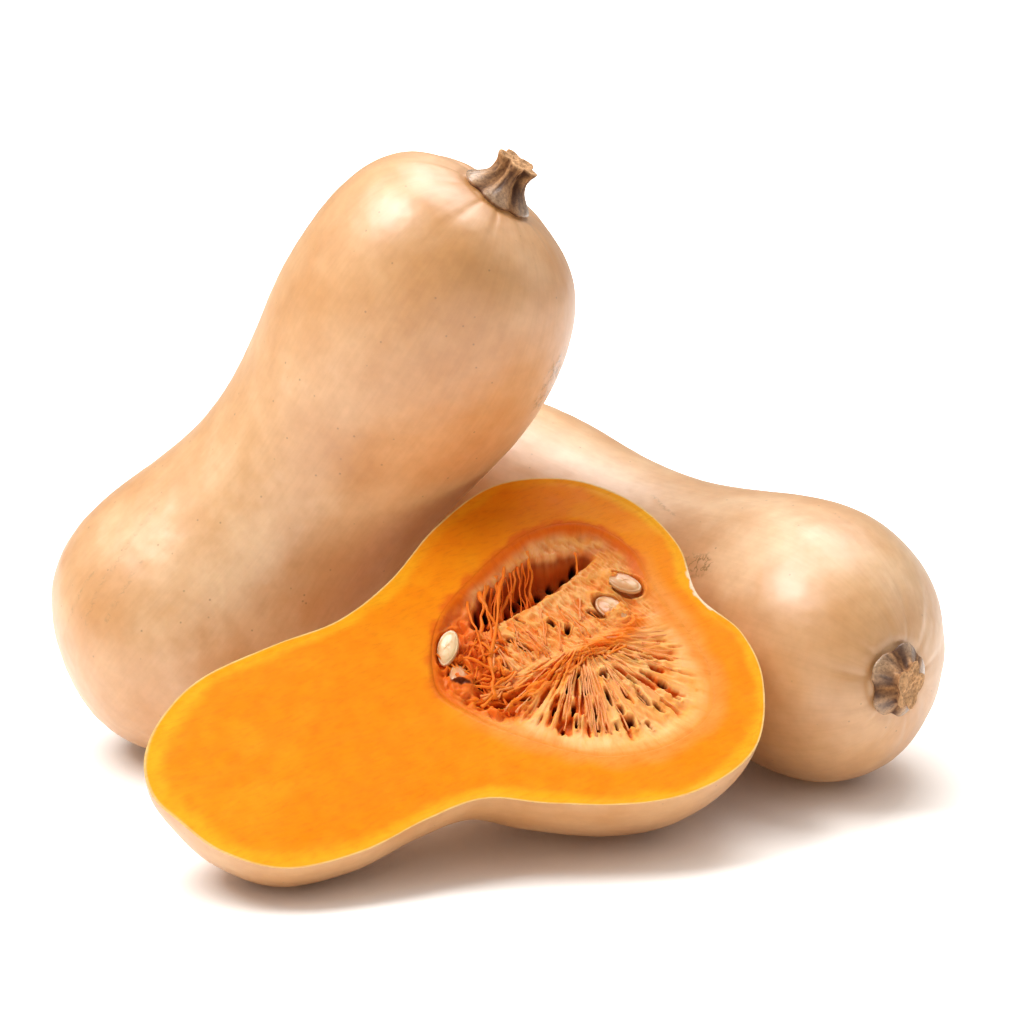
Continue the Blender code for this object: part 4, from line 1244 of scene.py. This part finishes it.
# ------------------------------------------------------------------ operators
class SQUASH_OT_skins(bpy.types.Operator):
    """Make the skins of the two whole squash"""

    bl_idname = "squash.skins"
    bl_label = "Whole squash"

    def execute(self, context):
        settings = context.scene.squash_skin
        material = waxed_rind(settings)
        for name, fruit in (("leaning_squash", LEANING), ("lying_squash", LYING)):
            skin = make_skin(name + "_skin", fruit, material, settings.pleat_depth / MM)
            hand_over(skin, "rind", name)
        return {"FINISHED"}


class SQUASH_OT_half(bpy.types.Operator):
    """Make the cut half with its rind, flesh and seed cavity"""

    bl_idname = "squash.half"
    bl_label = "Cut half"

    def execute(self, context):
        scene = context.scene
        skin = bpy.data.materials.get("waxed_butternut_rind") or waxed_rind(scene.squash_skin)
        flesh = moist_tissue("knife_cut_flesh", 1.3, 0.36, 0.18, 0.10)
        wall = moist_tissue("torn_cavity_wall", 1.6, 0.34, 0.20, 0.15)
        hand_over(make_half(scene.squash_flesh, [skin, flesh, wall]), "flesh", "half_squash")
        return {"FINISHED"}


class SQUASH_OT_pulp(bpy.types.Operator):
    """Make the stringy pulp in the cavity"""

    bl_idname = "squash.pulp"
    bl_label = "Seed pulp"

    def execute(self, context):
        scene = context.scene
        pulp = moist_tissue("wet_stringy_pulp", 0.9, 0.32, 0.35, 0.14)
        hand_over(make_bed(scene.squash_flesh, scene.squash_pulp, pulp), "pulp", "seed_pulp")
        string = moist_tissue("wet_pulp_string", 0.7, 0.28, 0.15, 0.08)
        hand_over(make_strands(scene.squash_pulp, string), "pulp")
        return {"FINISHED"}


class SQUASH_OT_seeds(bpy.types.Operator):
    """Make the loose seeds"""

    bl_idname = "squash.seeds"
    bl_label = "Seeds"

    def execute(self, context):
        material = dried_seed_coat(context.scene.squash_seed)
        for number, seed in enumerate(SEEDS, start=1):
            hand_over(make_seed(number, seed, material), "seed", "seed_%d" % number)
        return {"FINISHED"}


class SQUASH_OT_stems(bpy.types.Operator):
    """Make the two dried stems"""

    bl_idname = "squash.stems"
    bl_label = "Stems"

    def execute(self, context):
        material = dried_cork_stem()
        for name, fruit in (("leaning_stem", LEANING), ("lying_stem", LYING)):
            hand_over(make_stem(name + "_cork", fruit, context.scene.squash_stem, material), "stem", name)
        return {"FINISHED"}


def aim(item, target):
    """Point a lamp or a camera at a place."""
    item.rotation_euler = (Vector(target) - item.location).to_track_quat("-Z", "Y").to_euler()


class SQUASH_OT_stage(bpy.types.Operator):
    """Make the floor, the soft lights and the camera"""

    bl_idname = "squash.stage"
    bl_label = "Floor, lights and camera"

    def execute(self, context):
        scene, settings = context.scene, context.scene.squash_stage
        mesh = bpy.data.meshes.new("pale_floor")
        corners = [(x * FLOOR_REACH, y * FLOOR_REACH, 0.0) for x, y in ((-1, -1), (1, -1), (1, 1), (-1, 1))]
        mesh.from_pydata(corners, [], [(0, 1, 2, 3)])
        floor = bpy.data.objects.new("pale_floor", mesh)
        scene.collection.objects.link(floor)
        mesh.materials.append(painted_glow_sweep(settings))

        for name, place, size, share, target in LAMPS:
            lamp = bpy.data.lights.new(name, "AREA")
            lamp.shape, lamp.size, lamp.energy = "SQUARE", size, settings.key * share
            item = bpy.data.objects.new(name, lamp)
            item.location = place
            aim(item, target)
            scene.collection.objects.link(item)

        world = bpy.data.worlds.new("white_studio")
        world.use_nodes = True
        tree = world.node_tree
        plug(tree, tree.nodes["Background"], {"Color": WHITE, "Strength": settings.ambient})
        scene.world = world
        scene.view_settings.view_transform = "Standard"

        camera = bpy.data.cameras.new("camera")
        camera.angle = math.radians(CAMERA_FIELD)
        camera.clip_end = 60.0
        viewer = bpy.data.objects.new("camera", camera)
        viewer.location = CAMERA_PLACE
        viewer.rotation_euler = (math.radians(90.0 - CAMERA_DOWN), 0.0, 0.0)
        scene.collection.objects.link(viewer)
        scene.camera = viewer
        return {"FINISHED"}


class SQUASH_PT_panel(bpy.types.Panel):
    bl_label = "Butternut squash group"
    bl_idname = "SQUASH_PT_panel"
    bl_space_type = "VIEW_3D"
    bl_region_type = "UI"
    bl_category = "Squash"

    def draw(self, context):
        for operator in OPERATORS:
            self.layout.operator(operator.bl_idname)
        for label in SETTINGS:
            box = self.layout.box()
            group = getattr(context.scene, label)
            for name in group.bl_rna.properties.keys():
                if name not in ("rna_type", "name"):
                    box.prop(group, name)


SETTINGS = {
    "squash_skin": SquashSkinSettings,
    "squash_flesh": SquashFleshSettings,
    "squash_pulp": SquashPulpSettings,
    "squash_seed": SquashSeedSettings,
    "squash_stem": SquashStemSettings,
    "squash_stage": SquashStageSettings,
}
OPERATORS = (
    SQUASH_OT_stage, SQUASH_OT_skins, SQUASH_OT_half, SQUASH_OT_pulp, SQUASH_OT_seeds, SQUASH_OT_stems,
)


def register():
    for item in (*SETTINGS.values(), *OPERATORS, SQUASH_PT_panel):
        bpy.utils.register_class(item)
    for label, group in SETTINGS.items():
        setattr(bpy.types.Scene, label, bpy.props.PointerProperty(type=group))


def unregister():
    for label in SETTINGS:
        delattr(bpy.types.Scene, label)
    for item in reversed((*SETTINGS.values(), *OPERATORS, SQUASH_PT_panel)):
        bpy.utils.unregister_class(item)


def main():
    """Register the add-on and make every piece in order."""
    register()
    bpy.ops.squash.stage()
    bpy.ops.squash.skins()
    bpy.ops.squash.half()
    bpy.ops.squash.pulp()
    bpy.ops.squash.seeds()
    bpy.ops.squash.stems()
    bpy.context.view_layer.update()


if __name__ == "__main__":
    main()
